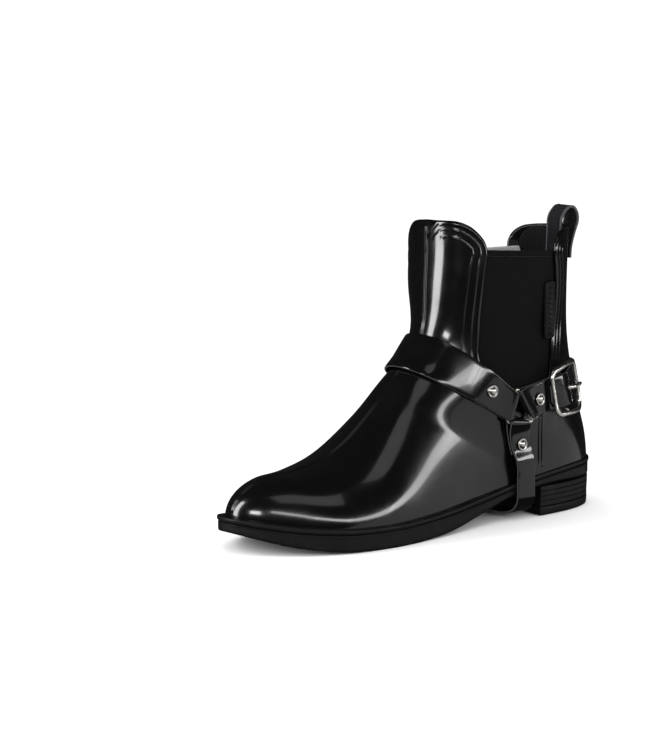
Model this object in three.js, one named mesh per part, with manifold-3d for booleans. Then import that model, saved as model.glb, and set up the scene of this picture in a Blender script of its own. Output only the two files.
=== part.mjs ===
// Ankle-height rubber rain boot (left foot) with elastic gores, harness straps, ring and buckle.
// Millimetres. +X points to the toe, +Y to the outer (lateral) side, +Z up, ground at z = 0.
import * as THREE from 'three';
import { mergeVertices } from 'three/addons/utils/BufferGeometryUtils.js';
import Module from 'manifold-3d';

const wasm = await Module();
wasm.setup();

// ---- driving dimensions -------------------------------------------------------------------
const UPPER_TOE = 258.3; // tip of the upper; the welt reaches 4.6 further
const SKIN_TOP = 180; // height the upper is modelled to before the top line is cut
const GAP = 0.3; // clearance between touching pieces
const RUBBER = 2.2; // wall of the moulded upper
const LINING = 1.0; // knitted lining
const ELASTIC = 1.2; // gore cloth
const WELT = 2.7; // thickness of the welt layer
const STRAP = 1.3; // strap thickness
const STRAP_GAP = 0.6; // strap clear of the upper
const CROWN = 0.15; // rise of a strap's middle over its edges
const WIRE = 1.1; // radius of the ring wire
const BAR = 1.0; // radius of the buckle's centre bar
const HEEL_FRONT = 58; // front face of the heel
const HEEL_SEAT = 17.2; // top of the heel block
const TOP_LIFT = 5; // thickness of the wearing piece under the heel

const LATERAL = 1;
const MEDIAL = -1;

// ---- small helpers ------------------------------------------------------------------------
const vec = (x, y, z) => new THREE.Vector3(x, y, z);
const clamp01 = (t) => Math.min(1, Math.max(0, t));
const smooth = (t) => clamp01(t) ** 2 * (3 - 2 * clamp01(t));

// Smooth curve through [position, value] stations.
function through(stations) {
  const xs = stations.map((s) => s[0]);
  const ys = stations.map((s) => s[1]);
  const last = xs.length - 1;
  const rise = (i) => (ys[i + 1] - ys[i]) / (xs[i + 1] - xs[i]);
  const slope = xs.map((x, i) => {
    if (i === 0) return rise(0);
    if (i === last) return rise(last - 1);
    const before = xs[i] - xs[i - 1];
    const after = xs[i + 1] - xs[i];
    return (rise(i - 1) * after + rise(i) * before) / (before + after);
  });
  return (x) => {
    let i = 0;
    while (i < last - 1 && x > xs[i + 1]) i += 1;
    const h = xs[i + 1] - xs[i];
    const t = clamp01((x - xs[i]) / h);
    return (
      (1 + 2 * t) * (1 - t) ** 2 * ys[i] +
      t * (1 - t) ** 2 * h * slope[i] +
      t * t * (3 - 2 * t) * ys[i + 1] +
      t * t * (t - 1) * h * slope[i + 1]
    );
  };
}

// Where a function rising from negative to positive crosses zero.
function crossing(f, low, high) {
  for (let k = 0; k < 40; k += 1) {
    const middle = (low + high) / 2;
    if (f(middle) < 0) low = middle;
    else high = middle;
  }
  return (low + high) / 2;
}

// Points spread evenly along a polyline.
function spread(points, count) {
  const run = [0];
  for (let i = 1; i < points.length; i += 1) {
    run.push(run[i - 1] + points[i].distanceTo(points[i - 1]));
  }
  const out = [];
  let i = 0;
  for (let k = 0; k < count; k += 1) {
    const at = (run[run.length - 1] * k) / (count - 1);
    while (i < points.length - 2 && at > run[i + 1]) i += 1;
    out.push(points[i].clone().lerp(points[i + 1], clamp01((at - run[i]) / (run[i + 1] - run[i]))));
  }
  return out;
}

// ---- shape of the upper -------------------------------------------------------------------
const centreLine = through([[0, 0], [60, 2], [110, 2.3], [160, -0.3], [210, -2.5], [258, -5.2]]);
const footWidth = through([
  [0, 25], [70, 25.5], [105, 27.5], [140, 34.5], [180, 40.5], [205, 39.5], [235, 32.5], [258, 26],
]);
const soleTop = through([
  [0, 28], [30, 27.5], [60, 24.5], [100, 18], [145, 13.5], [190, 12.5], [235, 15.5], [263, 20.5],
]);
const ridge = through([
  [60, 70], [90, 91], [118, 104], [140, 91.5], [160, 71], [185, 51], [210, 42], [235, 40], [258, 40],
]);
const backEdge = through([
  [20, 0.5], [40, 2.5], [60, 7.5], [85, 11.5], [110, 13.5], [135, 14], [160, 13], [180, 11],
]);
const frontEdge = through([
  [20, 114], [40, 116.5], [60, 117], [85, 115], [110, 114.5], [135, 119], [160, 120.5], [180, 122],
]);
const shaftWidth = through([
  [20, 28.2], [40, 27.8], [60, 26.9], [85, 26.3], [110, 26.6], [135, 29.4], [160, 30.2], [180, 28.5],
]);

function roundEnd(x, tip, start, power) {
  const t = clamp01((x - start) / (tip - start));
  return (1 - t ** power) ** (1 / power);
}

// Middle of the foot in plan; straight under the shaft, following the last further forward.
function middleY(x) {
  const t = smooth((x - 100) / 60);
  return centreLine(x) * t + 0.8 * (1 - t);
}

// Roughly the distance outside the upper: negative inside, zero on its surface.
function outside(x, y, z) {
  const half = Math.max(footWidth(x) * roundEnd(x, UPPER_TOE, 203, 2.1), 0.05);
  const height = Math.max((ridge(x) - soleTop(x)) * roundEnd(x, UPPER_TOE, 228, 2), 0.05);
  const up = Math.max((z - soleTop(x)) / height, 0);
  const across = Math.abs(y - centreLine(x)) / half;
  let foot = ((across ** 2.2 + up ** 1.75) ** (1 / 2.2) - 1) * Math.min(half, height);
  foot += Math.max(60 - x, 0) * 0.5 + Math.max(x - UPPER_TOE, 0);
  // Even at the heel, the shaft is widest well forward higher up and narrow behind.
  const forward = smooth((z - 45) / 65);
  const depth = frontEdge(z) - backEdge(z);
  const widest = backEdge(z) + depth * (0.5 + 0.28 * forward);
  const ahead = x > widest;
  const power = ahead ? 2.3 : 2.35 - 0.5 * forward;
  const alongShaft = ahead ? (x - widest) / (frontEdge(z) - widest) : (widest - x) / (widest - backEdge(z));
  const acrossShaft = Math.abs(y - 0.8) / shaftWidth(z);
  const shaft = ((alongShaft ** power + acrossShaft ** power) ** (1 / power) - 1) * shaftWidth(z);
  const blend = 3 + 24 * smooth((z - 35) / 45);
  const share = clamp01(0.5 + (shaft - foot) / (2 * blend));
  return shaft * (1 - share) + foot * share - blend * share * (1 - share);
}

function normalAt(p) {
  const d = 0.05;
  const along = (x, y, z) => outside(p.x + x, p.y + y, p.z + z) - outside(p.x - x, p.y - y, p.z - z);
  return vec(along(d, 0, 0), along(0, d, 0), along(0, 0, d)).normalize();
}

// First way out of the upper from a point inside it.
function wayOut(from, direction) {
  const at = (t) => from.clone().addScaledVector(direction, t);
  const depth = (t) => outside(...at(t).toArray());
  let t = 0;
  while (t < 160 && depth(t) < 0) t += 2;
  return at(crossing(depth, Math.max(0, t - 2), t));
}

// Half of a slice through the upper, from the front ridge round to the back.
function halfSlice(heightAt, side, count) {
  const axis = (x) => outside(x, middleY(x), heightAt(x));
  const front = crossing(axis, 60, 300);
  const back = -crossing((u) => axis(-u), -60, 60);
  const points = [];
  const steps = 160;
  for (let k = 0; k <= steps; k += 1) {
    const x = (front + back) / 2 + ((front - back) / 2) * Math.cos((Math.PI * k) / steps);
    const z = heightAt(x);
    const end = k === 0 || k === steps;
    const reach = end ? 0 : crossing((t) => outside(x, middleY(x) + side * t, z), 0, 90);
    points.push(vec(x, middleY(x) + side * reach, z));
  }
  return spread(points, count);
}

// A closed slice: outer side front to back, then the inner side back to front.
function slice(heightAt, count) {
  const lateral = halfSlice(heightAt, LATERAL, count);
  const medial = halfSlice(heightAt, MEDIAL, count).reverse();
  return [...lateral, ...medial.slice(1, -1)];
}

function offsetLoop(loop, distance) {
  return loop.map((p) => p.clone().addScaledVector(normalAt(p), distance));
}

// The same, moved only in plan.
function offsetFlat(loop, distanceAt) {
  return loop.map((p) => {
    const n = normalAt(p).setZ(0).normalize();
    return p.clone().addScaledVector(n, distanceAt(p.x));
  });
}

// ---- solids -------------------------------------------------------------------------------
function solidFrom(points, triangles) {
  const geometry = new THREE.BufferGeometry();
  geometry.setAttribute('position', new THREE.Float32BufferAttribute(points.flatMap((p) => p.toArray()), 3));
  geometry.setIndex(triangles);
  const merged = mergeVertices(geometry, 1e-4);
  merged.computeVertexNormals();
  return merged;
}

// Closed tube of loops, each loop joined to the next and the last to the first. From loop `turn` on
// the quads are split the other way, so that both faces of a wall are split alike.
function torus(loops, turn = loops.length) {
  const across = loops[0].length;
  const triangles = [];
  loops.forEach((loop, i) => {
    const next = (i + 1) % loops.length;
    for (let k = 0; k < across; k += 1) {
      const j = (k + 1) % across;
      const [a, b, c, d] = [i * across + k, i * across + j, next * across + j, next * across + k];
      if (i < turn) triangles.push(a, b, c, a, c, d);
      else triangles.push(a, b, d, b, c, d);
    }
  });
  return facingOut(solidFrom(loops.flat(), triangles));
}

// Stack of loops, each joined to the next; `caps` lists the triangles that close one loop.
function stack(loops, caps = ladder(loops[0].length)) {
  const across = loops[0].length;
  const top = (loops.length - 1) * across;
  const triangles = caps.flatMap(([a, b, c]) => [a, c, b, top + a, top + b, top + c]);
  for (let i = 0; i < loops.length - 1; i += 1) {
    for (let k = 0; k < across; k += 1) {
      const j = (k + 1) % across;
      const [a, b, c, d] = [i * across + k, i * across + j, (i + 1) * across + j, (i + 1) * across + k];
      triangles.push(a, b, c, a, c, d);
    }
  }
  return facingOut(solidFrom(loops.flat(), triangles));
}

// Rungs across a loop, from its first point to the one opposite.
function ladder(count) {
  const caps = [];
  for (let k = 0; k < count / 2 - 1; k += 1) {
    const [a, b, c, d] = [k, k + 1, count - k - 1, (count - k) % count];
    if (k > 0) caps.push([a, b, d]);
    caps.push([b, c, d]);
  }
  return caps.concat([[count / 2 - 1, count / 2, count / 2 + 1]]);
}

// Signed volume decides which way the faces look; turned inside out when it is negative.
function facingOut(geometry) {
  const position = geometry.attributes.position;
  const index = geometry.index.array;
  const corner = (i) => vec(0, 0, 0).fromBufferAttribute(position, index[i]);
  let volume = 0;
  for (let t = 0; t < index.length; t += 3) {
    volume += corner(t).dot(corner(t + 1).cross(corner(t + 2)));
  }
  if (volume < 0) {
    for (let t = 0; t < index.length; t += 3) [index[t + 1], index[t + 2]] = [index[t + 2], index[t + 1]];
    geometry.computeVertexNormals();
  }
  return geometry;
}

function toSolid(geometry) {
  const mesh = new wasm.Mesh({
    numProp: 3,
    vertProperties: new Float32Array(geometry.attributes.position.array),
    triVerts: new Uint32Array(geometry.index.array),
  });
  return new wasm.Manifold(mesh);
}

function toGeometry(solid) {
  const mesh = solid.getMesh();
  const geometry = new THREE.BufferGeometry();
  geometry.setAttribute('position', new THREE.Float32BufferAttribute(mesh.vertProperties, 3));
  geometry.setIndex(Array.from(mesh.triVerts));
  geometry.computeVertexNormals();
  return geometry;
}

// Upright sheet outline in x and z, given depth across the boot from y0 to y1.
function prism(outline, y0, y1) {
  const flat = outline.map(([x, z]) => new THREE.Vector2(x, z));
  const turning = Math.sign(THREE.ShapeUtils.area(flat));
  const caps = THREE.ShapeUtils.triangulateShape(flat, []).map(([a, b, c]) => {
    const alike = Math.sign(THREE.ShapeUtils.area([flat[a], flat[b], flat[c]])) === turning;
    return alike ? [a, b, c] : [a, c, b];
  });
  return toSolid(stack([y0, y1].map((y) => outline.map(([x, z]) => vec(x, y, z))), caps));
}

// Round bar along a path; radii may differ across and along the given side direction.
function rod(path, radiusAt, sides, closed, sideAt) {
  const loops = path.map((p, i) => {
    const next = path[closed ? (i + 1) % path.length : Math.min(i + 1, path.length - 1)];
    const before = path[closed ? (i + path.length - 1) % path.length : Math.max(i - 1, 0)];
    const ahead = next.clone().sub(before).normalize();
    const u = sideAt(i).clone().addScaledVector(ahead, -sideAt(i).dot(ahead)).normalize();
    const v = ahead.clone().cross(u);
    const [ru, rv] = radiusAt(i);
    return Array.from({ length: sides }, (_, k) => {
      const angle = (2 * Math.PI * k) / sides;
      return p.clone().addScaledVector(u, ru * Math.cos(angle)).addScaledVector(v, rv * Math.sin(angle));
    });
  });
  return closed ? torus(loops) : stack(loops);
}

// Solid of revolution standing in a frame, from [radius, height] corners.
function turned(corners, sides, frame) {
  const loops = corners.map(([radius, height]) =>
    Array.from({ length: sides }, (_, k) => {
      const angle = (2 * Math.PI * k) / sides;
      return at(frame, radius * Math.cos(angle), radius * Math.sin(angle), height);
    }),
  );
  return stack(loops);
}

// ---- frames on the upper --------------------------------------------------------------------
// A frame has an origin and three directions: along, across and out.
function at(frame, along, across, out) {
  return frame.origin
    .clone()
    .addScaledVector(frame.along, along)
    .addScaledVector(frame.across, across)
    .addScaledVector(frame.out, out);
}

// Frames down a strap's base line, at even steps, measured as a distance from the first ring bar.
function strapLine(samples) {
  for (let pass = 0; pass < 2; pass += 1) {
    samples = samples.map((s, i) => {
      if (i === 0 || i === samples.length - 1) return s;
      const mix = (key) =>
        samples[i - 1][key].clone().add(samples[i + 1][key]).addScaledVector(s[key], 2).multiplyScalar(0.25);
      return { ...s, origin: mix('origin'), across: mix('across').normalize() };
    });
  }
  let run = 0;
  samples.forEach((s, i) => {
    if (i > 0) run += s.origin.distanceTo(samples[i - 1].origin);
    s.run = run;
  });
  const start = samples.find((s) => s.start).run;
  const finish = samples.find((s) => s.finish).run;
  samples.forEach((s, i) => {
    const ahead = samples[Math.min(i + 1, samples.length - 1)].origin;
    const behind = samples[Math.max(i - 1, 0)].origin;
    s.along = ahead.clone().sub(behind).normalize();
    s.across.addScaledVector(s.along, -s.across.dot(s.along)).normalize();
    s.out = s.along.clone().cross(s.across);
    if (s.out.dot(s.facing) < 0) s.out.negate();
    s.run -= start;
  });
  const frameAt = (run) => {
    let i = 0;
    while (i < samples.length - 2 && run > samples[i + 1].run) i += 1;
    const [a, b] = [samples[i], samples[i + 1]];
    const t = (run - a.run) / (b.run - a.run);
    const mix = (key) => a[key].clone().lerp(b[key], t);
    const turned = (key) => mix(key).normalize();
    return { origin: mix('origin'), along: turned('along'), across: turned('across'), out: turned('out') };
  };
  return { frameAt, length: finish - start };
}

// A strap lying in a tilted plane through the boot, held off the skin by its high spots.
function wrapLine(origin, ahead, up, halfWidth) {
  const samples = [];
  for (let degrees = 108; degrees >= -108; degrees -= 3) {
    const angle = THREE.MathUtils.degToRad(degrees);
    const direction = ahead.clone().multiplyScalar(Math.cos(angle)).add(vec(0, Math.sin(angle), 0));
    const [low, mid, high] = [-1, 0, 1].map((w) =>
      wayOut(origin.clone().addScaledVector(up, w * halfWidth), direction),
    );
    const centre = low.clone().add(high).multiplyScalar(0.5);
    centre.addScaledVector(direction, Math.max(0, mid.clone().sub(centre).dot(direction)));
    samples.push({
      origin: centre,
      across: high.clone().sub(low).normalize(),
      facing: direction,
      start: degrees === 90,
      finish: degrees === -90,
    });
  }
  return strapLine(samples);
}

// Strap solid from a side view of its path: [run, height] pairs, bent along the line. Its outer
// face is slightly crowned across the width, and its inner face follows.
function ribbon(line, path, halfWidthAt, leanAt = () => 0, thickness = STRAP) {
  const faces = path.map(([run, height], i) => {
    const [nextRun, nextHeight] = path[Math.min(i + 1, path.length - 1)];
    const [lastRun, lastHeight] = path[Math.max(i - 1, 0)];
    const length = Math.hypot(nextRun - lastRun, nextHeight - lastHeight);
    const normal = [-(nextHeight - lastHeight) / length, (nextRun - lastRun) / length];
    const corner = (side, face) => {
      const w = side * halfWidthAt(run);
      const offset = (face * thickness) / 2 + (side === 0 ? CROWN : 0);
      const r = run + normal[0] * offset;
      return at(line.frameAt(r + w * leanAt(run)), 0, w, height + normal[1] * offset);
    };
    return [...[-1, 0, 1].map((side) => corner(side, 1)), ...[1, 0, -1].map((side) => corner(side, -1))];
  });
  return stack(faces);
}

// Half turn of a strap round a bar at [run, height], from below to above, on the given side.
function fold(run, height, radius, side) {
  const steps = 6;
  return Array.from({ length: steps + 1 }, (_, k) => {
    const angle = (Math.PI * k) / steps;
    return [run + side * radius * Math.sin(angle), height - radius * Math.cos(angle)];
  });
}

// ---- materials ------------------------------------------------------------------------------
function finish(color, roughness, metalness = 0) {
  return new THREE.MeshStandardMaterial({ color, roughness, metalness });
}
const glossRubber = finish(0x0b0b0c, 0.12);
const soleRubber = finish(0x161616, 0.6);
const knit = finish(0x202021, 0.95);
const gore = finish(0x1b1b1c, 0.9);
const patent = finish(0x0d0d0e, 0.15);
const nickel = finish(0xc9c7c2, 0.2, 1);
const steel = finish(0x8d9094, 0.35, 1);
const board = finish(0x9a8462, 0.9);
const foam = finish(0x2a2a2b, 0.95);

const boot = new THREE.Group();
boot.name = 'rubber_rain_boot_left';

function piece(name, geometry, material) {
  const mesh = new THREE.Mesh(geometry, material);
  mesh.name = name;
  boot.add(mesh);
  return mesh;
}

// ---- upper, lining and gores ------------------------------------------------------------------
// Outline of the gore opening in side view, from its front top corner down and round to the back one.
const GORE = [
  [101.5, 158], [103, 148], [104.5, 132], [105, 112], [105.3, 97], [100, 84.5], [89.5, 75], [77, 68.3],
  [66, 66], [57, 68.3], [50, 75.5], [45, 85], [41, 96], [38.3, 110], [36.8, 126], [37.6, 141], [40, 152],
];
// Rounded corners of the front and rear panels above the gore, up to the top line.
const FRONT_CORNER = [[123, 175], [116, 174.6], [110.5, 172], [106, 168], [103, 163.5]];
// The inner side is cut lower in front.
const GORE_MEDIAL = [[109, 151], [107, 141], [105.5, 128], ...GORE.slice(3)];
const FRONT_CORNER_MEDIAL = [[123, 175], [121, 173], [117.5, 168.2], [113.5, 160.5]];
const REAR_CORNER = [[38.6, 157], [35.5, 161], [31, 163.6], [25, 164.5], [5, 164.5]];
const GORE_CENTRE = [71, 112];

function grown(outline, distance) {
  return outline.map(([x, z]) => {
    const [dx, dz] = [x - GORE_CENTRE[0], (z - GORE_CENTRE[1]) * 0.55];
    const length = Math.hypot(dx, dz);
    return [x + (distance * dx) / length, z + (distance * dz) / length];
  });
}

// Wall of the upper between two depths below its skin.
const ROWS = 20;
const COLUMNS = 21;
const rings = Array.from({ length: ROWS + 1 }, (_, i) => {
  const base = (x) => soleTop(x) + GAP;
  return slice((x) => base(x) + (i / ROWS) * (SKIN_TOP - base(x)), COLUMNS);
});
function wall(outerDepth, innerDepth) {
  const layer = (depth) => rings.map((ring, i) => {
    const loop = offsetLoop(ring, -depth);
    if (i === 0) loop.forEach((p, k) => p.setZ(ring[k].z));
    return loop;
  });
  return toSolid(torus([...layer(outerDepth), ...layer(innerDepth).reverse()], ROWS + 1));
}

const SKY = 200;
const sides = [
  {
    outline: GORE,
    corner: FRONT_CORNER,
    y: [0, 70],
    liningCorner: [113, 171],
    clothTop: [108, 158.7],
  },
  {
    outline: GORE_MEDIAL,
    corner: FRONT_CORNER_MEDIAL,
    y: [-70, 0],
    liningCorner: [119, 168],
    clothTop: [114, 150.5],
  },
];
const shell = sides.reduce((solid, { outline, corner, y }) => {
  const rim = [[-20, SKY], [150, SKY], [150, 175.3], ...corner, ...outline, ...REAR_CORNER, [-20, 164.5]];
  return solid.subtract(prism(rim, ...y));
}, wall(0, RUBBER));
piece('upper_shell', toGeometry(shell), glossRubber);

const liningDepth = RUBBER + GAP;
const lining = sides.reduce((solid, { outline, y, liningCorner }) => {
  const wide = grown(outline, 8.5);
  const front = [[-20, SKY], [150, SKY], [150, 174.4], [122, 173], liningCorner];
  const rim = [...front, ...wide, [29, 161], [26, 163.8], [-20, 163.8]];
  return solid.subtract(prism(rim, ...y));
}, wall(liningDepth, liningDepth + LINING));
piece('lining', toGeometry(lining), knit);

const cloth = wall(liningDepth, liningDepth + ELASTIC);
['gore_lateral', 'gore_medial'].forEach((name, i) => {
  const { outline, y, clothTop } = sides[i];
  const panel = prism([clothTop, ...grown(outline.slice(1, -1), 7), [33.5, 152]], ...y);
  piece(name, toGeometry(cloth.intersect(panel)), gore);
});

// ---- bottom of the boot -------------------------------------------------------------------------
const soleBottom = through([
  [0, 17.5], [61, 17.5], [76, 15.2], [95, 10.5], [115, 5.6], [135, 1.8],
  [158, 0], [196, 0], [216, 1.2], [238, 4.8], [263, 12.5],
]);
const weltMargin = through([[0, 1.3], [60, 1.6], [110, 3], [200, 3.4], [262, 4.6]]);
const OUTLINE = 26;
const footprint = slice((x) => soleTop(x), OUTLINE);
const edgeLoop = (inset) => offsetFlat(footprint, (x) => weltMargin(x) - inset);
const lift = (loop, heightAt) => loop.map((p) => vec(p.x, p.y, heightAt(p.x)));

piece(
  'welt',
  stack([
    lift(edgeLoop(0.4), (x) => soleTop(x) - WELT),
    lift(edgeLoop(0), (x) => soleTop(x) - WELT + 0.5),
    lift(edgeLoop(0), (x) => soleTop(x) - 0.6),
    lift(edgeLoop(0.6), (x) => soleTop(x)),
  ]),
  soleRubber,
);
const flatTread = (x) => Math.max(0, soleBottom(x) - 0.001);
piece(
  'outsole',
  stack([
    lift(edgeLoop(1.4), flatTread),
    lift(edgeLoop(0.6), (x) => soleBottom(x) + 1),
    lift(edgeLoop(0.5), (x) => soleTop(x) - WELT - GAP - 0.6),
    lift(edgeLoop(1), (x) => soleTop(x) - WELT - GAP),
  ]),
  soleRubber,
);

// Back part of the sole outline, closed by the heel's slightly hollow front face.
function heelLoop(inset) {
  const whole = offsetFlat(slice((x) => soleTop(x), 60), (x) => weltMargin(x) - inset);
  const behind = spread(whole.filter((p) => p.x < HEEL_FRONT - inset * 0.3), 25);
  const [first, last] = [behind[0], behind[behind.length - 1]];
  const front = [0.25, 0.5, 0.75].map((t) => {
    const hollow = vec(-2.4 * Math.sin(Math.PI * t), 0, 0);
    return last.clone().lerp(first, t).add(hollow);
  });
  return [...behind, ...front];
}
const heelAt = (inset, z) => lift(heelLoop(inset), () => z);
piece('heel_block', stack([heelAt(1.1, TOP_LIFT + GAP), heelAt(0.7, HEEL_SEAT)]), soleRubber);
piece('heel_top_lift', stack([heelAt(1.9, 0), heelAt(1.2, 0.9), heelAt(1, TOP_LIFT)]), soleRubber);

// Layers inside, resting on the welt: filler with a slot for the shank, board and footbed.
const WALL_DEPTH = liningDepth + LINING + 0.5;
function insideLoop(height, extra = 0) {
  const ring = slice((x) => soleTop(x) + height, COLUMNS);
  const tight = (x) => -(WALL_DEPTH + extra) - 2 * smooth((x - 215) / 40);
  return offsetFlat(ring, tight);
}
const layer = (low, high, extra) => stack([
  lift(insideLoop(low, extra), (x) => soleTop(x) + low),
  lift(insideLoop(high, extra), (x) => soleTop(x) + high),
]);
function bar(half, x0, x1, low, high) {
  const steps = 8;
  const loops = Array.from({ length: steps + 1 }, (_, i) => {
    const x = x0 + ((x1 - x0) * i) / steps;
    const section = [[-half, low], [half, low], [half, high], [-half, high]];
    return section.map(([y, h]) => vec(x, middleY(x) + y, soleTop(x) + h));
  });
  return stack(loops);
}
const filler = toSolid(layer(GAP, 1.9, 0)).subtract(toSolid(bar(7.3, 39.7, 130.3, -1, 4)));
piece('bottom_filler', toGeometry(filler), board);
piece('steel_shank', bar(7, 40, 130, 0.4, 1.8), steel);
piece('insole_board', layer(2.2, 3.7, 0), board);
piece('footbed', layer(4, 8, 0.2), foam);

// ---- harness ------------------------------------------------------------------------------------
const UNDER = STRAP_GAP + STRAP / 2; // height of a strap's middle when it lies on the upper
const OVER = UNDER + STRAP + 0.6; // the same when it lies on another layer
const RING_HEIGHT = UNDER + STRAP / 2 + GAP + WIRE;
const RING_TURN = WIRE + GAP + STRAP / 2; // radius of a strap folded round the ring
const BAR_HEIGHT = UNDER + STRAP / 2 + GAP + BAR;
const BAR_TURN = BAR + GAP + STRAP / 2;

// Corners of the ring in side view: apex, front and rear ends of the lower bar.
const RING = [[82.2, 78], [89, 58.4], [69, 58.4]];
const middleOf = (a, b) => [(a[0] + b[0]) / 2, (a[1] + b[1]) / 2];
const FRONT_BAR = middleOf(RING[0], RING[1]);
const REAR_BAR = middleOf(RING[0], RING[2]);
const LOWER_BAR = middleOf(RING[1], RING[2]);
const sideDirection = (dx, dz) => vec(dx, 0, dz).normalize();
const above = (direction) => vec(-Math.abs(direction.z), 0, Math.abs(direction.x));

const instepAhead = sideDirection(53, 35);
const instepUp = above(instepAhead);
const instepLine = wrapLine(vec(FRONT_BAR[0], 0, FRONT_BAR[1]), instepAhead, instepUp, 11);
const heelAhead = sideDirection(-55, 6.5);
const heelUp = vec(0.12, 0, 1).normalize();
const heelLine = wrapLine(vec(REAR_BAR[0], 0, REAR_BAR[1]), heelAhead, heelUp, 9);

// The stirrup's base line: down one side, under the waist and up the other.
const stirrupSide = [
  [79.3, 66], [LOWER_BAR[0], 58.4], [77.2, 50], [75, 41], [73.4, 32], [72.6, 25], [72.2, 17],
];
function stirrupPoint([x, z], side) {
  const skin = crossing((t) => outside(x, middleY(x) + side * t, Math.max(z, 30)), 0, 90);
  const sole = 2.4 * smooth((44 - z) / 14);
  return vec(x, middleY(x) + side * (skin + sole), z);
}
function stirrupLine() {
  const down = (side) => stirrupSide.map((s) => stirrupPoint(s, side));
  const edge = (side) => stirrupPoint([72.2, 17], side).y;
  const under = [
    [0, 11.5], [3.4, 7.2], [9, 5], [18, 4.5],
  ];
  const turn = (side) => under.map(([inward, z]) => vec(72, edge(side) - side * inward, z));
  const outer = [...down(LATERAL), ...turn(LATERAL)];
  const inner = [...down(MEDIAL), ...turn(MEDIAL)];
  const corners = [...outer, vec(72, 0.8, 4.3), ...inner.reverse()];
  const smoothPath = new THREE.CatmullRomCurve3(corners, false, 'centripetal').getPoints(150);
  const path = spread(smoothPath, 91);
  const nearest = (target) => {
    const gaps = path.map((p) => p.distanceTo(target));
    return gaps.indexOf(Math.min(...gaps));
  };
  const start = nearest(stirrupPoint(stirrupSide[1], LATERAL));
  const finishAt = nearest(stirrupPoint(stirrupSide[1], MEDIAL));
  const centre = vec(72, 0.8, 45);
  return strapLine(path.map((p, i) => ({
    origin: p,
    across: vec(1, 0, 0),
    facing: p.clone().sub(centre),
    start: i === start,
    finish: i === finishAt,
  })));
}
const footLine = stirrupLine();

// Rivets hold each folded end about this far from its bar.
const INSTEP_RIVET = 18;
const CHAPE_RIVET = 12;
const HEEL_RIVET = 15;
const STIRRUP_RIVET = 14;
const BUCKLE_AT = 34; // centre bar of the buckle, along the heel line
const TAIL_END = BUCKLE_AT - 12; // tip of the heel strap under the buckle's front bar

// Height of the outer layer behind a folded end, by distance from the bar.
const leavingFold = through([
  [0, RING_HEIGHT + RING_TURN], [4.5, 4], [9.5, OVER], [25, OVER], [33, UNDER + 0.6], [42, UNDER],
]);

function steps(from, to, pitch, heightAt) {
  const count = Math.max(1, Math.round(Math.abs(to - from) / pitch));
  return Array.from({ length: count + 1 }, (_, i) => {
    const run = from + ((to - from) * i) / count;
    return [run, heightAt(run)];
  });
}

// A strap folded round a ring bar at both ends of its line, standing off by `slack` between them.
function foldedStrap(line, underLayer, halfWidthAt, leanAt, slack) {
  const end = line.length;
  const height = (run) => {
    const near = nearEnd(run, end);
    return leavingFold(near) + slack * smooth((near - 36) / 20);
  };
  const path = [
    ...steps(underLayer, 1, 5, () => UNDER),
    ...fold(0, RING_HEIGHT, RING_TURN, -1),
    ...steps(2, end - 2, 4, height),
    ...fold(end, RING_HEIGHT, RING_TURN, 1).reverse(),
    ...steps(end - 1, end - underLayer, 5, () => UNDER),
  ];
  return ribbon(line, path, halfWidthAt, leanAt);
}

// Holes for rivet pins, bored through every layer at a frame.
function bore(frame, radius) {
  return toSolid(turned([[radius, -4], [radius, 9]], 10, frame));
}
function boredAt(geometry, frames) {
  return frames.reduce((solid, frame) => solid.subtract(bore(frame, 1.6)), toSolid(geometry));
}

// Distance from the nearer bar, negative where the strap turns round it inside the ring.
const nearEnd = (run, end) => Math.min(run, end - run);
// Folds are mitred inside the ring so that neighbouring straps clear each other.
const MITRE = 2;
const mitred = (widthAt, run, end) => widthAt(nearEnd(run, end)) + MITRE * Math.min(nearEnd(run, end), 0);
// Slant of a ring bar along a strap, per millimetre across it.
function slant(bar, ahead, up) {
  const direction = vec(bar[1][0] - bar[0][0], 0, bar[1][1] - bar[0][1]);
  return direction.dot(ahead) / direction.dot(up);
}
// The slant fades out along the strap and turns round at its far end.
function slanted(line, amount) {
  return (run) => {
    const share = 1 - smooth(nearEnd(run, line.length) / 22);
    return (run < line.length / 2 ? amount : -amount) * share;
  };
}
const frontSlant = slant([RING[1], RING[0]], instepAhead, instepUp);
const rearSlant = slant([RING[2], RING[0]], heelAhead, heelUp);
const lowerSlant = slant([RING[2], RING[1]], sideDirection(-1.8, -8.4), sideDirection(8.4, -1.8));

const instepWidth = through([[0, 8.2], [12, 9.2], [45, 11.4], [90, 11.7]]);
const instepHalf = (run) => mitred(instepWidth, run, instepLine.length);
const instepLean = slanted(instepLine, frontSlant);
const bothEnds = (line, distance) => [line.frameAt(distance), line.frameAt(line.length - distance)];
const instepRivets = bothEnds(instepLine, INSTEP_RIVET);
const instepStrap = foldedStrap(instepLine, INSTEP_RIVET + 5, instepHalf, instepLean, 0.6);
piece('instep_strap', toGeometry(boredAt(instepStrap, instepRivets)), patent);

const stirrupWidth = through([[0, 7.6], [10, 7.2], [24, 6.8], [60, 6.7]]);
const stirrupHalf = (run) => mitred(stirrupWidth, run, footLine.length);
const stirrupRivets = bothEnds(footLine, STIRRUP_RIVET);
const stirrupStrap = foldedStrap(footLine, STIRRUP_RIVET + 5, stirrupHalf, slanted(footLine, lowerSlant), 0);
piece('stirrup_strap', toGeometry(boredAt(stirrupStrap, stirrupRivets)), patent);

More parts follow.
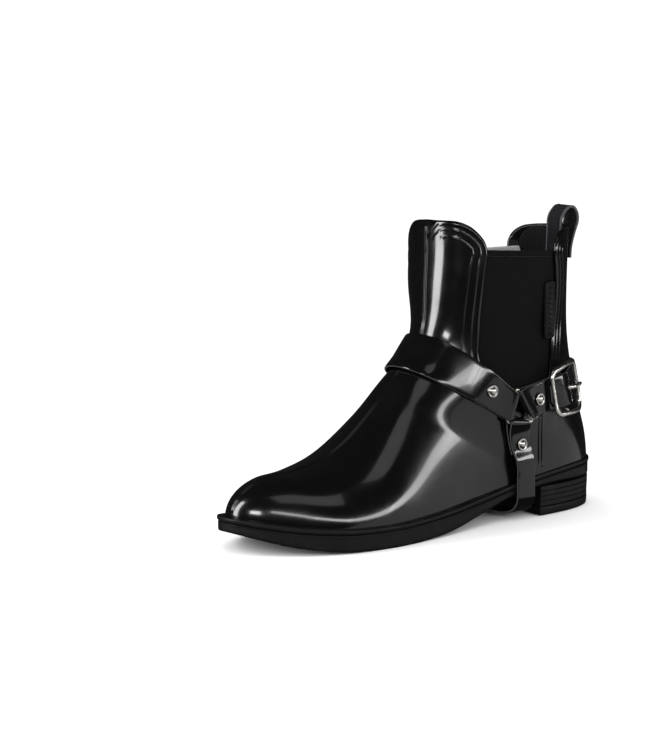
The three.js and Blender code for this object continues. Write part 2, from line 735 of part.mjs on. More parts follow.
// Short strap between ring and buckle, folded round both and meeting itself underneath.
const CHAPE_HALF = 9.3;
const chapeHalf = (run) => CHAPE_HALF + MITRE * Math.min(run, 0);
const chapeLean = (run) => rearSlant * (1 - smooth(run / 22));
const chapeHeight = through([
  [0, RING_HEIGHT + RING_TURN], [4, 4], [8, OVER], [BUCKLE_AT - 12, OVER], [BUCKLE_AT - 7, 3.3],
  [BUCKLE_AT - 3, 4.6], [BUCKLE_AT, BAR_HEIGHT + BAR_TURN],
]);
const chapePath = [
  ...steps(18, 1, 4.6, () => UNDER),
  ...fold(0, RING_HEIGHT, RING_TURN, -1),
  ...steps(2, BUCKLE_AT - 1.5, 3, chapeHeight),
  ...fold(BUCKLE_AT, BAR_HEIGHT, BAR_TURN, 1).reverse(),
  ...steps(BUCKLE_AT - 1, 19.5, 5, () => UNDER),
];
const buckleFrame = heelLine.frameAt(BUCKLE_AT);
buckleFrame.origin.addScaledVector(buckleFrame.out, BAR_HEIGHT);
function slot(along0, along1, half, out0, out1) {
  const outline = [[along0, -half], [along1, -half], [along1, half], [along0, half]];
  const loops = [out0, out1].map((n) => outline.map(([a, w]) => at(buckleFrame, a, w, n)));
  return toSolid(stack(loops));
}
const chapeRivet = heelLine.frameAt(CHAPE_RIVET);
const chape = ribbon(heelLine, chapePath, chapeHalf, chapeLean);
const chapeSlot = slot(-5.5, 5, 1.9, -6, 6);
piece('buckle_strap', toGeometry(boredAt(chape, [chapeRivet]).subtract(chapeSlot)), patent);

// Long strap: threaded through the buckle, round the heel and folded on the inner ring.
const heelEnd = heelLine.length;
const threaded = through([
  [TAIL_END, 4.7], [BUCKLE_AT - 8, 5.2], [BUCKLE_AT - 4, 6.5], [BUCKLE_AT, 7.05], [BUCKLE_AT + 4, 6.6],
  [BUCKLE_AT + 9, 5], [BUCKLE_AT + 14, 3.6], [BUCKLE_AT + 20, 2.6], [BUCKLE_AT + 26, 2.4],
  [90, 3.2], [heelEnd - 45, 2.2], [heelEnd - 36, UNDER + 0.3], [heelEnd - 25, OVER],
  [heelEnd - 9.5, OVER], [heelEnd - 4.5, 4], [heelEnd, RING_HEIGHT + RING_TURN],
]);
const heelPath = [
  ...steps(TAIL_END, heelEnd - 2, 3.2, threaded),
  ...fold(heelEnd, RING_HEIGHT, RING_TURN, 1).reverse(),
  ...steps(heelEnd - 1, heelEnd - HEEL_RIVET - 5, 5, () => UNDER),
];
function heelHalf(run) {
  const tip = 3.5 * smooth((TAIL_END + 4 - run) / 5) ** 2;
  return 9.2 - tip + MITRE * Math.min(heelEnd - run, 0);
}
const heelLean = (run) => -rearSlant * (1 - smooth((heelEnd - run) / 22));
const heelRivet = heelLine.frameAt(heelEnd - HEEL_RIVET);
const heelStrap = ribbon(heelLine, heelPath, heelHalf, heelLean);
const pinHole = slot(-2.9, 6.8, 1.9, 1, 7);
piece('heel_strap', toGeometry(boredAt(heelStrap, [heelRivet]).subtract(pinHole)), patent);

// Triangular wire ring through the folds of the three straps that meet on one side.
const lengthOf = (a, b) => Math.hypot(b[0] - a[0], b[1] - a[1]);
function ring(side) {
  const bars = [
    [instepLine, frontSlant, lengthOf(RING[0], RING[1]) / 2],
    [footLine, lowerSlant, lengthOf(RING[1], RING[2]) / 2],
    [heelLine, rearSlant, -lengthOf(RING[2], RING[0]) / 2],
  ].map(([line, amount, half]) => [half, -half].map((w) => {
    const run = side === LATERAL ? amount * w : line.length - amount * w;
    return at(line.frameAt(run), 0, w, RING_HEIGHT);
  }));
  const corners = bars.map((bar, i) => bar[0].clone().add(bars[(i + 2) % 3][1]).multiplyScalar(0.5));
  const cut = 1.9;
  const path = corners.flatMap((corner, i) => {
    const [before, after] = [corners[(i + 2) % 3], corners[(i + 1) % 3]].map((other) =>
      corner.clone().add(other.clone().sub(corner).setLength(cut)),
    );
    return new THREE.QuadraticBezierCurve3(before, corner, after).getPoints(4);
  });
  const edges = [1, 2].map((i) => corners[i].clone().sub(corners[0]));
  const out = edges[0].cross(edges[1]).normalize();
  return rod(path, () => [WIRE, WIRE], 8, true, () => out);
}
piece('ring_lateral', ring(LATERAL), nickel);
piece('ring_medial', ring(MEDIAL), nickel);

// Rivet pressed from a domed cap and a post, through the layers at a frame.
function rivet(name, frame) {
  const low = UNDER - STRAP / 2 - GAP;
  const high = OVER + STRAP / 2 + CROWN + GAP;
  const post = [[2.9, low - 0.25], [2.9, low], [1.25, low], [1.25, high - 0.1]];
  const dome = [[3.7, high], [3.6, high + 0.6], [2.6, high + 1.3], [1.1, high + 1.6]];
  piece(`${name}_post`, turned(post, 10, frame), nickel);
  const hollow = [[1.55, high - 1], [1.55, high + 0.5]];
  const cap = toSolid(turned(dome, 14, frame)).subtract(toSolid(turned(hollow, 10, frame)));
  piece(`${name}_cap`, toGeometry(cap), nickel);
}
rivet('rivet_instep_lateral', instepRivets[0]);
rivet('rivet_instep_medial', instepRivets[1]);
rivet('rivet_buckle_strap', chapeRivet);
rivet('rivet_heel_strap', heelRivet);
rivet('rivet_stirrup_lateral', stirrupRivets[0]);
rivet('rivet_stirrup_medial', stirrupRivets[1]);

// Centre-bar buckle: a crowned frame, wide at the front, with a lower bar across the middle.
const buckleOutline = [
  [-12, 0, 3.4, 1, 2.1], [-12, 6, 3.4, 1, 2.1], [-11.6, 10, 3.5, 1.1, 2.2], [-9.5, 12.4, 3.7, 1.2, 2],
  [-5, 13.3, 4.2, 1.3, 1.7], [0, 13.9, 4.7, 1.35, 1.5], [6, 14.3, 4.7, 1.35, 1.5],
  [10.5, 13.8, 4.2, 1.35, 1.5],
  [13, 11.4, 3.5, 1.35, 1.5], [13.7, 7, 3.15, 1.35, 1.4], [13.9, 0, 3.05, 1.35, 1.4],
];
const mirrored = buckleOutline.slice(1, -1).reverse().map(([a, w, ...rest]) => [a, -w, ...rest]);
const buckleStations = [...buckleOutline, ...mirrored];
const bucklePath = buckleStations.map(([a, w, n]) => at(buckleFrame, a, w, n));
const rimRadius = (i) => buckleStations[i].slice(3);
const buckleRim = rod(bucklePath, rimRadius, 8, true, () => buckleFrame.out);
const barPath = [
  [0, -13.6, 4.3], [0, -11.6, 2.2], [0, -10.6, 0.3], [0, -9.9, 0],
  [0, 9.9, 0], [0, 10.6, 0.3], [0, 11.6, 2.2], [0, 13.6, 4.3],
].map(([a, w, n]) => at(buckleFrame, a, w, n));
const centreBar = rod(barPath, () => [BAR, BAR], 8, false, () => buckleFrame.along);
piece('buckle_frame', toGeometry(toSolid(buckleRim).add(toSolid(centreBar))), nickel);

// Prong: rolled round the centre bar, rising through the strap to rest on the rear bar.
const rollRadius = BAR + 0.3 + 0.75;
const roll = [-50, -90, -130, -170, -210, -250].map((degrees) => {
  const angle = THREE.MathUtils.degToRad(degrees);
  return [rollRadius * Math.cos(angle), rollRadius * Math.sin(angle)];
});
const prongPath = [
  ...roll, [1.4, 2.5], [3, 3.6], [4.7, 5], [6.6, 5.75], [10, 5.9], [13.6, 5.75], [15.4, 5.2],
];
const prongPoints = prongPath.map(([a, n]) => at(buckleFrame, a, 0, n));
const lastPoint = prongPoints.length - 1;
const prongRadius = (i) => (i < roll.length ? [0.75, 1.4] : [0.8, i === lastPoint ? 0.9 : 1.15]);
const prongOut = (i) => {
  const next = prongPoints[Math.min(i + 1, lastPoint)];
  const before = prongPoints[Math.max(i - 1, 0)];
  return next.clone().sub(before).cross(buckleFrame.across);
};
piece('buckle_prong', rod(prongPoints, prongRadius, 8, false, prongOut), nickel);

// ---- gore tag and pull loop -----------------------------------------------------------------------
// Tag with a raised rim and three plain bars, sewn to the outer gore by its rear edge.
const tagFrame = (() => {
  const [x, z] = [44, 118.5];
  const reach = crossing((t) => outside(x, middleY(x) + t, z), 0, 90);
  const origin = vec(x, middleY(x) + reach, z);
  const out = normalAt(origin).setZ(0).normalize();
  const across = vec(0, 0, 1);
  return { origin, along: across.clone().cross(out).normalize(), across, out };
})();
function plate(halfLong, halfTall, low, high, corner) {
  const outline = [[1, 1], [-1, 1], [-1, -1], [1, -1]].flatMap(([sx, sy]) =>
    (sx * sy > 0 ? [0, 1, 2] : [2, 1, 0]).map((k) => {
      const angle = (Math.PI / 4) * k;
      const [a, w] = [corner * Math.cos(angle), corner * Math.sin(angle)];
      return [sx * (halfLong - corner + a), sy * (halfTall - corner + w)];
    }),
  );
  const loops = [low, high].map((n) => outline.map(([a, w]) => at(tagFrame, a, w, n)));
  return toSolid(stack(loops));
}
const tagBack = -1.3;
const tagBars = [-8, 0, 8].map((w) => {
  const shifted = { ...tagFrame, origin: at(tagFrame, 0, w, 0) };
  const loops = [tagBack + 0.5, 0.5].map((n) =>
    [[-2.2, -2.6], [2.2, -2.6], [2.2, 2.6], [-2.2, 2.6]].map(([a, b]) => at(shifted, a, b, n)),
  );
  return toSolid(stack(loops));
});
const tag = tagBars.reduce(
  (solid, raised) => solid.add(raised),
  plate(4.7, 16.5, tagBack, 0.8, 1.6).subtract(plate(3.6, 15.4, 0, 3, 1)),
);
piece('gore_tag', toGeometry(tag), glossRubber);

// Webbing loop over the back edge: two sewn legs and the free arch that joins them.
const LOOP_HALF = 6;
const LOOP_THICK = 1.5;
function webbing(path) {
  const frameAt = (x) => ({
    origin: vec(x, 0.8, 0),
    along: vec(1, 0, 0),
    across: vec(0, 1, 0),
    out: vec(0, 0, 1),
  });
  return ribbon({ frameAt }, path, () => LOOP_HALF, () => 0, LOOP_THICK);
}
const outerLeg = [[12.3, 145], [11.9, 151], [10.9, 156], [9.6, 160.4]];
const arch = [
  [8.8, 162.6], [7.6, 165.4], [7.2, 168.5], [8.2, 172], [11, 174.9],
  [14.6, 174.9], [17.8, 172.6], [20, 169.8], [20.8, 167.2],
];
const innerLeg = [[21, 165], [21.2, 160], [21.5, 154], [21.9, 147]];
piece('pull_loop', webbing(arch), knit);
piece('pull_loop_outer_leg', webbing(outerLeg), knit);
piece('pull_loop_inner_leg', webbing(innerLeg), knit);

// Stand the boot on the middle of its bounding box.
const box = new THREE.Box3().setFromObject(boot);
const middle = box.getCenter(new THREE.Vector3());
boot.position.set(-middle.x, -middle.y, -box.min.z);

export default boot;
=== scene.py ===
"""Looks of a low rubber rain boot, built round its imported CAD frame.

Shapes are worked out in millimetres in the part's own coordinates: toe along +X, outer side +Y, up +Z and
the ground at 0. `world` turns them into the frame's metres."""

import math

import bpy
import numpy as np
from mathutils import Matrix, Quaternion, Vector, geometry

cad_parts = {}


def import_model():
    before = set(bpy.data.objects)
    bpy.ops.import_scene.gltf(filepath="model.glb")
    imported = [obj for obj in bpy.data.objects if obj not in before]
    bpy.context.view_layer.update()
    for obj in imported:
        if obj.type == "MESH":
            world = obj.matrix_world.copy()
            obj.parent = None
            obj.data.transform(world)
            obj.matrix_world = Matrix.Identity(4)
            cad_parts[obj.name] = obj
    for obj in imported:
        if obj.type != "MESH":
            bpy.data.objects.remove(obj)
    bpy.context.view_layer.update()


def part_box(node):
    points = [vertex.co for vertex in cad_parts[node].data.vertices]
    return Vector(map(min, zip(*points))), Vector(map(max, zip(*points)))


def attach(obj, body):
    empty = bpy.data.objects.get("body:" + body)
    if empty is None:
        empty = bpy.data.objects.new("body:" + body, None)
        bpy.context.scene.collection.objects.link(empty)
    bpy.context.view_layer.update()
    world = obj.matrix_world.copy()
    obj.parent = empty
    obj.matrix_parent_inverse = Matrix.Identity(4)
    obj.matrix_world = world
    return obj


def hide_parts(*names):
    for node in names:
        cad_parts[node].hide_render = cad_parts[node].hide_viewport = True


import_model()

# ---- driving dimensions, the same as the part's ----
UPPER_TOE = 258.3
SKIN_TOP = 180.0
RUBBER = 2.2
LINING = 1.0
ELASTIC = 1.2
WELT = 2.7
GAP = 0.3
STRAP = 1.3
STRAP_GAP = 0.6
WIRE = 1.1
BAR = 1.0
HEEL_FRONT = 58.0
HEEL_SEAT = 17.2
TOP_LIFT = 5.0
LATERAL, MEDIAL = 1, -1
SHANK_MIDDLE_X = 85.0
SHAFT_MIDDLE = 0.8
LOOP_Y = SHAFT_MIDDLE
SKIN_SPACING = 1.7
LINING_SPACING = 3.4
GORE_SPACING = 1.5


def part_shift():
    """Where the part's own origin lies in the frame, in millimetres, from two nodes of known place."""
    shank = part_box("steel_shank")
    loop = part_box("pull_loop")
    x = 500 * (shank[0].x + shank[1].x) - SHANK_MIDDLE_X
    y = 500 * (loop[0].y + loop[1].y) - LOOP_Y
    return np.array([x, y, 0.0])


SHIFT = part_shift()


def world(points):
    return (np.asarray(points, float) + SHIFT) / 1000


# ---- curves ----
def clamp01(t):
    return np.clip(t, 0.0, 1.0)


def smooth(t):
    t = clamp01(t)
    return t * t * (3 - 2 * t)


def unit(v):
    v = np.asarray(v, float)
    return v / np.maximum(np.linalg.norm(v, axis=-1, keepdims=True), 1e-12)


def through(stations):
    """Smooth curve through (position, value) stations; a value may be a number or a vector."""
    xs = np.array([s[0] for s in stations], float)
    ys = np.array([s[1] for s in stations], float)
    flat = ys.ndim == 1
    ys = ys.reshape(len(xs), -1)
    step = np.diff(xs)[:, None]
    rise = np.diff(ys, axis=0) / step
    slope = np.empty_like(ys)
    slope[0], slope[-1] = rise[0], rise[-1]
    slope[1:-1] = (rise[:-1] * step[1:] + rise[1:] * step[:-1]) / (step[:-1] + step[1:])

    def curve(x):
        x = np.asarray(x, float)
        i = np.clip(np.searchsorted(xs, x, side="left") - 1, 0, len(xs) - 2)
        h = step[i, 0][..., None]
        t = clamp01((x - xs[i])[..., None] / h)
        value = (
            (1 + 2 * t) * (1 - t) ** 2 * ys[i]
            + t * (1 - t) ** 2 * h * slope[i]
            + t * t * (3 - 2 * t) * ys[i + 1]
            + t * t * (t - 1) * h * slope[i + 1]
        )
        return value[..., 0] if flat else value

    return curve


def crossing(f, low, high, rounds=40):
    """Where f rises through zero, for arrays of brackets."""
    low, high = np.array(low, float), np.array(high, float)
    for _ in range(rounds):
        middle = (low + high) / 2
        inside = f(middle) < 0
        low = np.where(inside, middle, low)
        high = np.where(inside, high, middle)
    return (low + high) / 2


def run_of(points):
    """Distance along a polyline at each of its points."""
    gaps = np.linalg.norm(np.diff(points, axis=0), axis=1)
    return np.concatenate([[0], np.cumsum(gaps)])


def resample(points, pitch, closed=False, count=None):
    """Evenly spaced points on a smooth curve through the given ones."""
    points = np.asarray(points, float)
    if closed:
        points = np.vstack([points[-3:], points, points[:4]])
    run = run_of(points)
    keep = np.concatenate([[True], np.diff(run) > 1e-6])
    curve = through(list(zip(run[keep], points[keep])))
    start, end = (run[3], run[-4]) if closed else (0.0, run[-1])
    count = count or max(2, int(round((end - start) / pitch)) + 1)
    return curve(np.linspace(start, end, count + 1)[:-1] if closed else np.linspace(start, end, count))


# ---- shape of the upper ----
centre_line = through([(0, 0), (60, 2), (110, 2.3), (160, -0.3), (210, -2.5), (258, -5.2)])
foot_width = through(
    [(0, 25), (70, 25.5), (105, 27.5), (140, 34.5),
     (180, 40.5), (205, 39.5), (235, 32.5), (258, 26)]
)
sole_top = through(
    [(0, 28), (30, 27.5), (60, 24.5), (100, 18),
     (145, 13.5), (190, 12.5), (235, 15.5), (263, 20.5)]
)
ridge = through(
    [(60, 70), (90, 91), (118, 104), (140, 91.5),
     (160, 71), (185, 51), (210, 42), (235, 40), (258, 40)]
)
back_edge = through(
    [(20, 0.5), (40, 2.5), (60, 7.5), (85, 11.5),
     (110, 13.5), (135, 14), (160, 13), (180, 11)]
)
front_edge = through(
    [(20, 114), (40, 116.5), (60, 117), (85, 115),
     (110, 114.5), (135, 119), (160, 120.5), (180, 122)]
)
shaft_width = through(
    [(20, 28.2), (40, 27.8), (60, 26.9), (85, 26.3),
     (110, 26.6), (135, 29.4), (160, 30.2), (180, 28.5)]
)
sole_bottom = through(
    [(0, 17.5), (61, 17.5), (76, 15.2), (95, 10.5), (115, 5.6), (135, 1.8), (158, 0),
     (196, 0), (216, 1.2), (238, 4.8), (263, 12.5)]
)
welt_margin = through([(0, 1.3), (60, 1.6), (110, 3), (200, 3.4), (262, 4.6)])


def round_end(x, tip, start, power):
    t = clamp01((x - start) / (tip - start))
    return (1 - t**power) ** (1 / power)


def middle_y(x):
    t = smooth((x - 100) / 60)
    return centre_line(x) * t + SHAFT_MIDDLE * (1 - t)


def outside(x, y, z):
    """Roughly the distance outside the upper: negative inside, zero on its surface."""
    half = np.maximum(foot_width(x) * round_end(x, UPPER_TOE, 203, 2.1), 0.05)
    height = np.maximum((ridge(x) - sole_top(x)) * round_end(x, UPPER_TOE, 228, 2), 0.05)
    up = np.maximum((z - sole_top(x)) / height, 0)
    across = np.abs(y - centre_line(x)) / half
    foot = ((across**2.2 + up**1.75) ** (1 / 2.2) - 1) * np.minimum(half, height)
    foot = foot + np.maximum(60 - x, 0) * 0.5 + np.maximum(x - UPPER_TOE, 0)
    forward = smooth((z - 45) / 65)
    back, front = back_edge(z), front_edge(z)
    widest = back + (front - back) * (0.5 + 0.28 * forward)
    ahead = x > widest
    power = np.where(ahead, 2.3, 2.35 - 0.5 * forward)
    along = np.where(ahead, (x - widest) / (front - widest), (widest - x) / (widest - back))
    side = np.abs(y - SHAFT_MIDDLE) / shaft_width(z)
    shaft = ((along**power + side**power) ** (1 / power) - 1) * shaft_width(z)
    blend = 3 + 24 * smooth((z - 35) / 45)
    share = clamp01(0.5 + (shaft - foot) / (2 * blend))
    return shaft * (1 - share) + foot * share - blend * share * (1 - share)


def normal_at(points):
    p = np.asarray(points, float)
    d = 0.05
    slopes = []
    for axis in range(3):
        step = np.zeros(3)
        step[axis] = d
        slopes.append(outside(*np.moveaxis(p + step, -1, 0)) - outside(*np.moveaxis(p - step, -1, 0)))
    return unit(np.stack(slopes, -1))


def on_skin(x, z, side):
    """Points of the upper's outer skin at places in side view, on the given side."""
    x, z = np.broadcast_arrays(np.asarray(x, float), np.asarray(z, float))
    depth = lambda t: outside(x, middle_y(x) + side * t, z)
    reach = crossing(depth, np.zeros_like(x), np.full_like(x, 90.0))
    return np.stack([x, middle_y(x) + side * reach, z], -1)


def way_out(start, direction):
    """First way out of the upper from points inside it."""
    start, direction = np.asarray(start, float), np.asarray(direction, float)
    steps = np.arange(0, 162, 2.0)
    probes = start[:, None, :] + direction[:, None, :] * steps[None, :, None]
    out = outside(*np.moveaxis(probes, -1, 0)) >= 0
    first = np.argmax(out, axis=1)
    high = steps[first]
    depth = lambda t: outside(*np.moveaxis(start + direction * t[:, None], -1, 0))
    t = crossing(depth, np.maximum(high - 2, 0), high)
    return start + direction * t[:, None]


# ---- meshes ----
class Shell:
    """Points, faces and a material number for each face, gathered before they become one object."""

    def __init__(self):
        self.points, self.faces, self.kinds = [], [], []
        self.normals = None

    def add(self, points, faces, kinds=0):
        base = sum(len(p) for p in self.points)
        self.points.append(np.asarray(points, float).reshape(-1, 3))
        self.faces += [tuple(base + i for i in f) for f in faces]
        self.kinds += [kinds] * len(faces) if isinstance(kinds, int) else list(kinds)
        return self

    def made(self, name, materials, body="boot", slot=None, replaces=(), sharp=None):
        mesh = bpy.data.meshes.new(name)
        mesh.from_pydata(world(np.vstack(self.points)).tolist(), [], self.faces)
        mesh.validate()
        for material in materials:
            mesh.materials.append(material)
        mesh.polygons.foreach_set("material_index", self.kinds)
        mesh.polygons.foreach_set("use_smooth", [True] * len(mesh.polygons))
        face_out(mesh)
        if self.normals is not None:
            mesh.normals_split_custom_set_from_vertices(self.normals.tolist())
        if sharp is not None:
            mesh.set_sharp_from_angle(angle=math.radians(sharp))
        thing = bpy.data.objects.new(name, mesh)
        bpy.context.scene.collection.objects.link(thing)
        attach(thing, body)
        if replaces:
            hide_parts(*replaces)
        return thing


def face_out(mesh):
    """Turns a closed mesh's faces round if they look inwards."""
    mesh.calc_loop_triangles()
    co = np.empty(len(mesh.vertices) * 3)
    mesh.vertices.foreach_get("co", co)
    co = co.reshape(-1, 3) - co.reshape(-1, 3).mean(0)
    tri = np.empty(len(mesh.loop_triangles) * 3, int)
    mesh.loop_triangles.foreach_get("vertices", tri)
    a, b, c = co[tri.reshape(-1, 3)].transpose(1, 0, 2)
    if np.einsum("ij,ij->", a, np.cross(b, c)) < 0:
        mesh.flip_normals()


def loops_faces(count, across, closed_along=False, closed_across=True):
    """Quads between loops of points, loop after loop."""
    faces = []
    for i in range(count if closed_along else count - 1):
        n = (i + 1) % count
        for k in range(across if closed_across else across - 1):
            j = (k + 1) % across
            faces.append((i * across + k, i * across + j, n * across + j, n * across + k))
    return faces


def tube(loops, closed=False):
    """Faces and points of a tube of loops; open tubes are closed by a fan at each end."""
    loops = np.asarray(loops, float)
    count, across = loops.shape[:2]
    points = loops.reshape(-1, 3)
    faces = loops_faces(count, across, closed_along=closed)
    if not closed:
        ends = [loops[0].mean(0), loops[-1].mean(0)]
        base = len(points)
        points = np.vstack([points, ends])
        for k in range(across):
            j = (k + 1) % across
            faces.append((base, j, k))
            faces.append((base + 1, (count - 1) * across + k, (count - 1) * across + j))
    return points, faces


def at(f, along, across, out):
    along, across, out = (np.asarray(v, float)[..., None] for v in (along, across, out))
    return f["origin"] + f["along"] * along + f["across"] * across + f["out"] * out


def rod(path, radii, sides, closed, side_dirs):
    """Round bar along a path; radii and side directions go with its points."""
    path, radii = np.asarray(path, float), np.asarray(radii, float)
    if closed:
        ahead = unit(np.roll(path, -1, 0) - np.roll(path, 1, 0))
    else:
        ahead = unit(np.gradient(path, axis=0))
    side_dirs = np.broadcast_to(side_dirs, path.shape)
    u = unit(side_dirs - ahead * np.sum(side_dirs * ahead, 1, keepdims=True))
    v = np.cross(ahead, u)
    angles = np.linspace(0, 2 * math.pi, sides, endpoint=False)
    ring = (
        u[:, None] * (radii[:, 0, None, None] * np.cos(angles)[None, :, None])
        + v[:, None] * (radii[:, 1, None, None] * np.sin(angles)[None, :, None])
    )
    return tube(path[:, None] + ring, closed)


def turned(corners, sides, f):
    """Solid of revolution standing in a frame, from (radius, height) corners."""
    angles = np.linspace(0, 2 * math.pi, sides, endpoint=False)
    loops = [at(f, r * np.cos(angles), r * np.sin(angles), np.full(sides, float(h))) for r, h in corners]
    return tube(loops)


# ---- the skin as a map: u from the front ridge to the back, v from the sole to the top ----
def base_height(x):
    return sole_top(x) - 0.15


def height_of(x, v):
    return base_height(x) + v * (SKIN_TOP - base_height(x))


def ends_of(v):
    """Where the skin's level v meets the middle plane, in front and behind."""
    v = np.asarray(v, float)
    axis = lambda x: outside(x, middle_y(x), height_of(x, v))
    front = crossing(axis, np.full_like(v, 60.0), np.full_like(v, 300.0))
    back = -crossing(lambda u: axis(-u), np.full_like(v, -60.0), np.full_like(v, 60.0))
    return front, back


def skin_point(u, v, side):
    front, back = ends_of(v)
    x = (front + back) / 2 + (front - back) / 2 * np.cos(math.pi * u)
    point = on_skin(np.clip(x, back + 1e-6, front - 1e-6), height_of(x, v), side)
    seam = (u < 1e-9) | (u > 1 - 1e-9)
    point[seam, 1] = middle_y(point[seam, 0])
    return point


def to_map(x, z):
    """(u, v) of a place given in side view."""
    v = (z - base_height(x)) / (SKIN_TOP - base_height(x))
    front, back = ends_of(v)
    share = (2 * x - front - back) / (front - back)
    return np.arccos(np.clip(share, -1, 1)) / math.pi, v


class Edge:
    """Trim line in side view, from the front ridge round the gore to the back, material on its left."""

    def __init__(self, corners):
        self.line = resample(resample(corners, 1.0), 1.0)
        ahead = unit(np.gradient(self.line, axis=0))
        self.inward = np.stack([-ahead[:, 1], ahead[:, 0]], -1)

    def distance(self, p):
        """Distance from the trim line into the material and its direction, in side view."""
        a, b = self.line[:-1], self.line[1:]
        ab = b - a
        length2 = (ab**2).sum(1)
        best = np.full(len(p), 1e9)
        sign = np.ones(len(p))
        direction = np.zeros((len(p), 2))
        for first in range(0, len(p), 4000):
            part = slice(first, first + 4000)
            q = p[part]
            t = clamp01(((q[:, None] - a) * ab).sum(-1) / length2)
            gap = q[:, None] - (a + ab * t[..., None])
            d2 = (gap**2).sum(-1)
            k = np.argmin(d2, 1)
            rows = np.arange(len(q))
            off = gap[rows, k]
            cross = ab[k, 0] * off[:, 1] - ab[k, 1] * off[:, 0]
            d = np.sqrt(d2[rows, k])
            best[part] = d
            sign[part] = np.where(cross >= 0, 1, -1)
            near = d < 1e-6
            mixed = np.where(near[:, None], self.inward[k], off / np.maximum(d, 1e-9)[:, None])
            direction[part] = mixed * np.where(near, 1, sign[part])[:, None]
        return best * sign, direction


def triangulated(flat, boundary):
    """Triangles of a cloud of flat points inside a closed boundary given by their first points."""
    edges = [(i, (i + 1) % boundary) for i in range(boundary)]
    result = geometry.delaunay_2d_cdt([Vector(p) for p in flat], edges, [], 1, 1e-7)
    co, triangles, original = result[0], result[2], result[3]
    return np.array([tuple(c) for c in co]), [tuple(t) for t in triangles], original


def trimmed_patch(edge, rows, spacing, inner_start):
    """Half of the skin below a trim line: map points, triangles, and which points are on the line."""
    map_size = [190.0, 160.0]
    trim_u, trim_v = to_map(edge.line[:, 0], edge.line[:, 1])
    trim_u[0], trim_u[-1] = 0.0, 1.0
    # levels, spaced evenly along the front ridge and the back edge together
    fine = np.linspace(0, 1, 900)
    front, back = ends_of(fine)
    ridge_run = run_of(np.stack([front, height_of(front, fine)], 1))
    run = ridge_run + run_of(np.stack([back, height_of(back, fine)], 1)) * 0.6
    count = int(run[-1] / spacing)
    levels = np.interp(np.linspace(0, run[-1], count), run, fine)
    columns = np.linspace(0, 1, int(150 / spacing) + 1)
    boundary = list(zip(trim_u, trim_v))
    boundary += [(1.0, v) for v in levels[::-1] if 0 < v < trim_v[-1] - 0.004]
    boundary += [(u, 0.0) for u in columns[::-1]]
    boundary += [(0.0, v) for v in levels if 0 < v < trim_v[0] - 0.004]
    cloud = []
    for g in rows:
        shifted = edge.line + edge.inward * g
        gap, _ = edge.distance(shifted)
        keep = gap > g - 0.03
        u, v = to_map(shifted[keep, 0], shifted[keep, 1])
        inside = (u > 0.002) & (u < 0.998) & (v > 0.002)
        cloud.append(np.stack([u[inside], v[inside]], 1))
    us, vs = (grid.ravel() for grid in np.meshgrid(columns[1:-1], levels[1:], indexing="ij"))
    front, back = ends_of(vs)
    x = (front + back) / 2 + (front - back) / 2 * np.cos(math.pi * us)
    gap, _ = edge.distance(np.stack([x, height_of(x, vs)], 1))
    keep = gap > inner_start
    cloud.append(np.stack([us[keep], vs[keep]], 1))
    flat = np.vstack([np.array(boundary)] + cloud) * map_size
    co, triangles, original = triangulated(flat, len(boundary))
    uv = np.array([flat[ids[0]] if ids else co[i] for i, ids in enumerate(original)]) / map_size
    on_trim = np.array([any(k < len(trim_u) for k in ids) for ids in original])
    return np.clip(uv, 0, 1), triangles, on_trim


def layered(patches, outer_at, inner_at):
    """Wall over trimmed patches of the skin, from its offsets at each distance from the trim line."""
    points, normals, triangles = [], [], []
    for edge, side, uv, faces, on_trim in patches:
        skin = skin_point(uv[:, 0], uv[:, 1], side)
        n = normal_at(skin)
        gap, slope = edge.distance(skin[:, [0, 2]])
        gap = np.where(on_trim, 0, np.maximum(gap, 0.01))
        tilt = np.stack([slope[:, 0], np.zeros(len(gap)), slope[:, 1]], 1)
        tilt -= n * np.sum(n * tilt, 1, keepdims=True)
        for offset_at, face in ((outer_at, 1), (inner_at, -1)):
            low, high = np.maximum(gap - 0.02, 0), gap + 0.02
            rise = (offset_at(high) - offset_at(low)) / (high - low)
            base = sum(len(p) for p in points)
            points.append(skin + n * offset_at(gap)[:, None])
            normals.append(face * unit(n - tilt * rise[:, None]))
            flip = side * face < 0
            triangles += [tuple(base + i for i in (f[::-1] if flip else f)) for f in faces]
    points, normals = np.vstack(points), np.vstack(normals)
    _, first, where = np.unique(np.round(points, 3), axis=0, return_index=True, return_inverse=True)
    where = where.ravel()
    faces = [tuple(int(where[i]) for i in t) for t in triangles]
    faces = [f for f in faces if len(set(f)) == 3]
    return points[first], normals[first], faces


def open_edges(faces):
    """Edges used by one face only, in that face's direction."""
    seen = {}
    for f in faces:
        for a, b in zip(f, f[1:] + f[:1]):
            seen[(a, b)] = seen.get((a, b), 0) + 1
    return [e for e in seen if (e[1], e[0]) not in seen]


def close_bottom(points, faces):
    """Joins the outer and inner bottom rims of a wall by quads, matching nearest points."""
    rim = open_edges(faces)
    after = dict(rim)
    loops = []
    while after:
        start = next(iter(after))
        loop = [start]
        while loop[-1] in after:
            step = after.pop(loop[-1])
            if step == start:
                break
            loop.append(step)
        loops.append(loop)
    loops.sort(key=len, reverse=True)
    outer, inner = loops[0], loops[1]
    co_in = points[inner]
    shift = int(np.argmin(np.linalg.norm(co_in - points[outer[0]], axis=1)))
    inner = inner[shift:] + inner[:shift]
    inner = [inner[0]] + inner[:0:-1]
    made = []
    for k in range(len(outer)):
        j = (k + 1) % len(outer)
        made.append((outer[j], outer[k], inner[k % len(inner)], inner[j % len(inner)]))
    return made


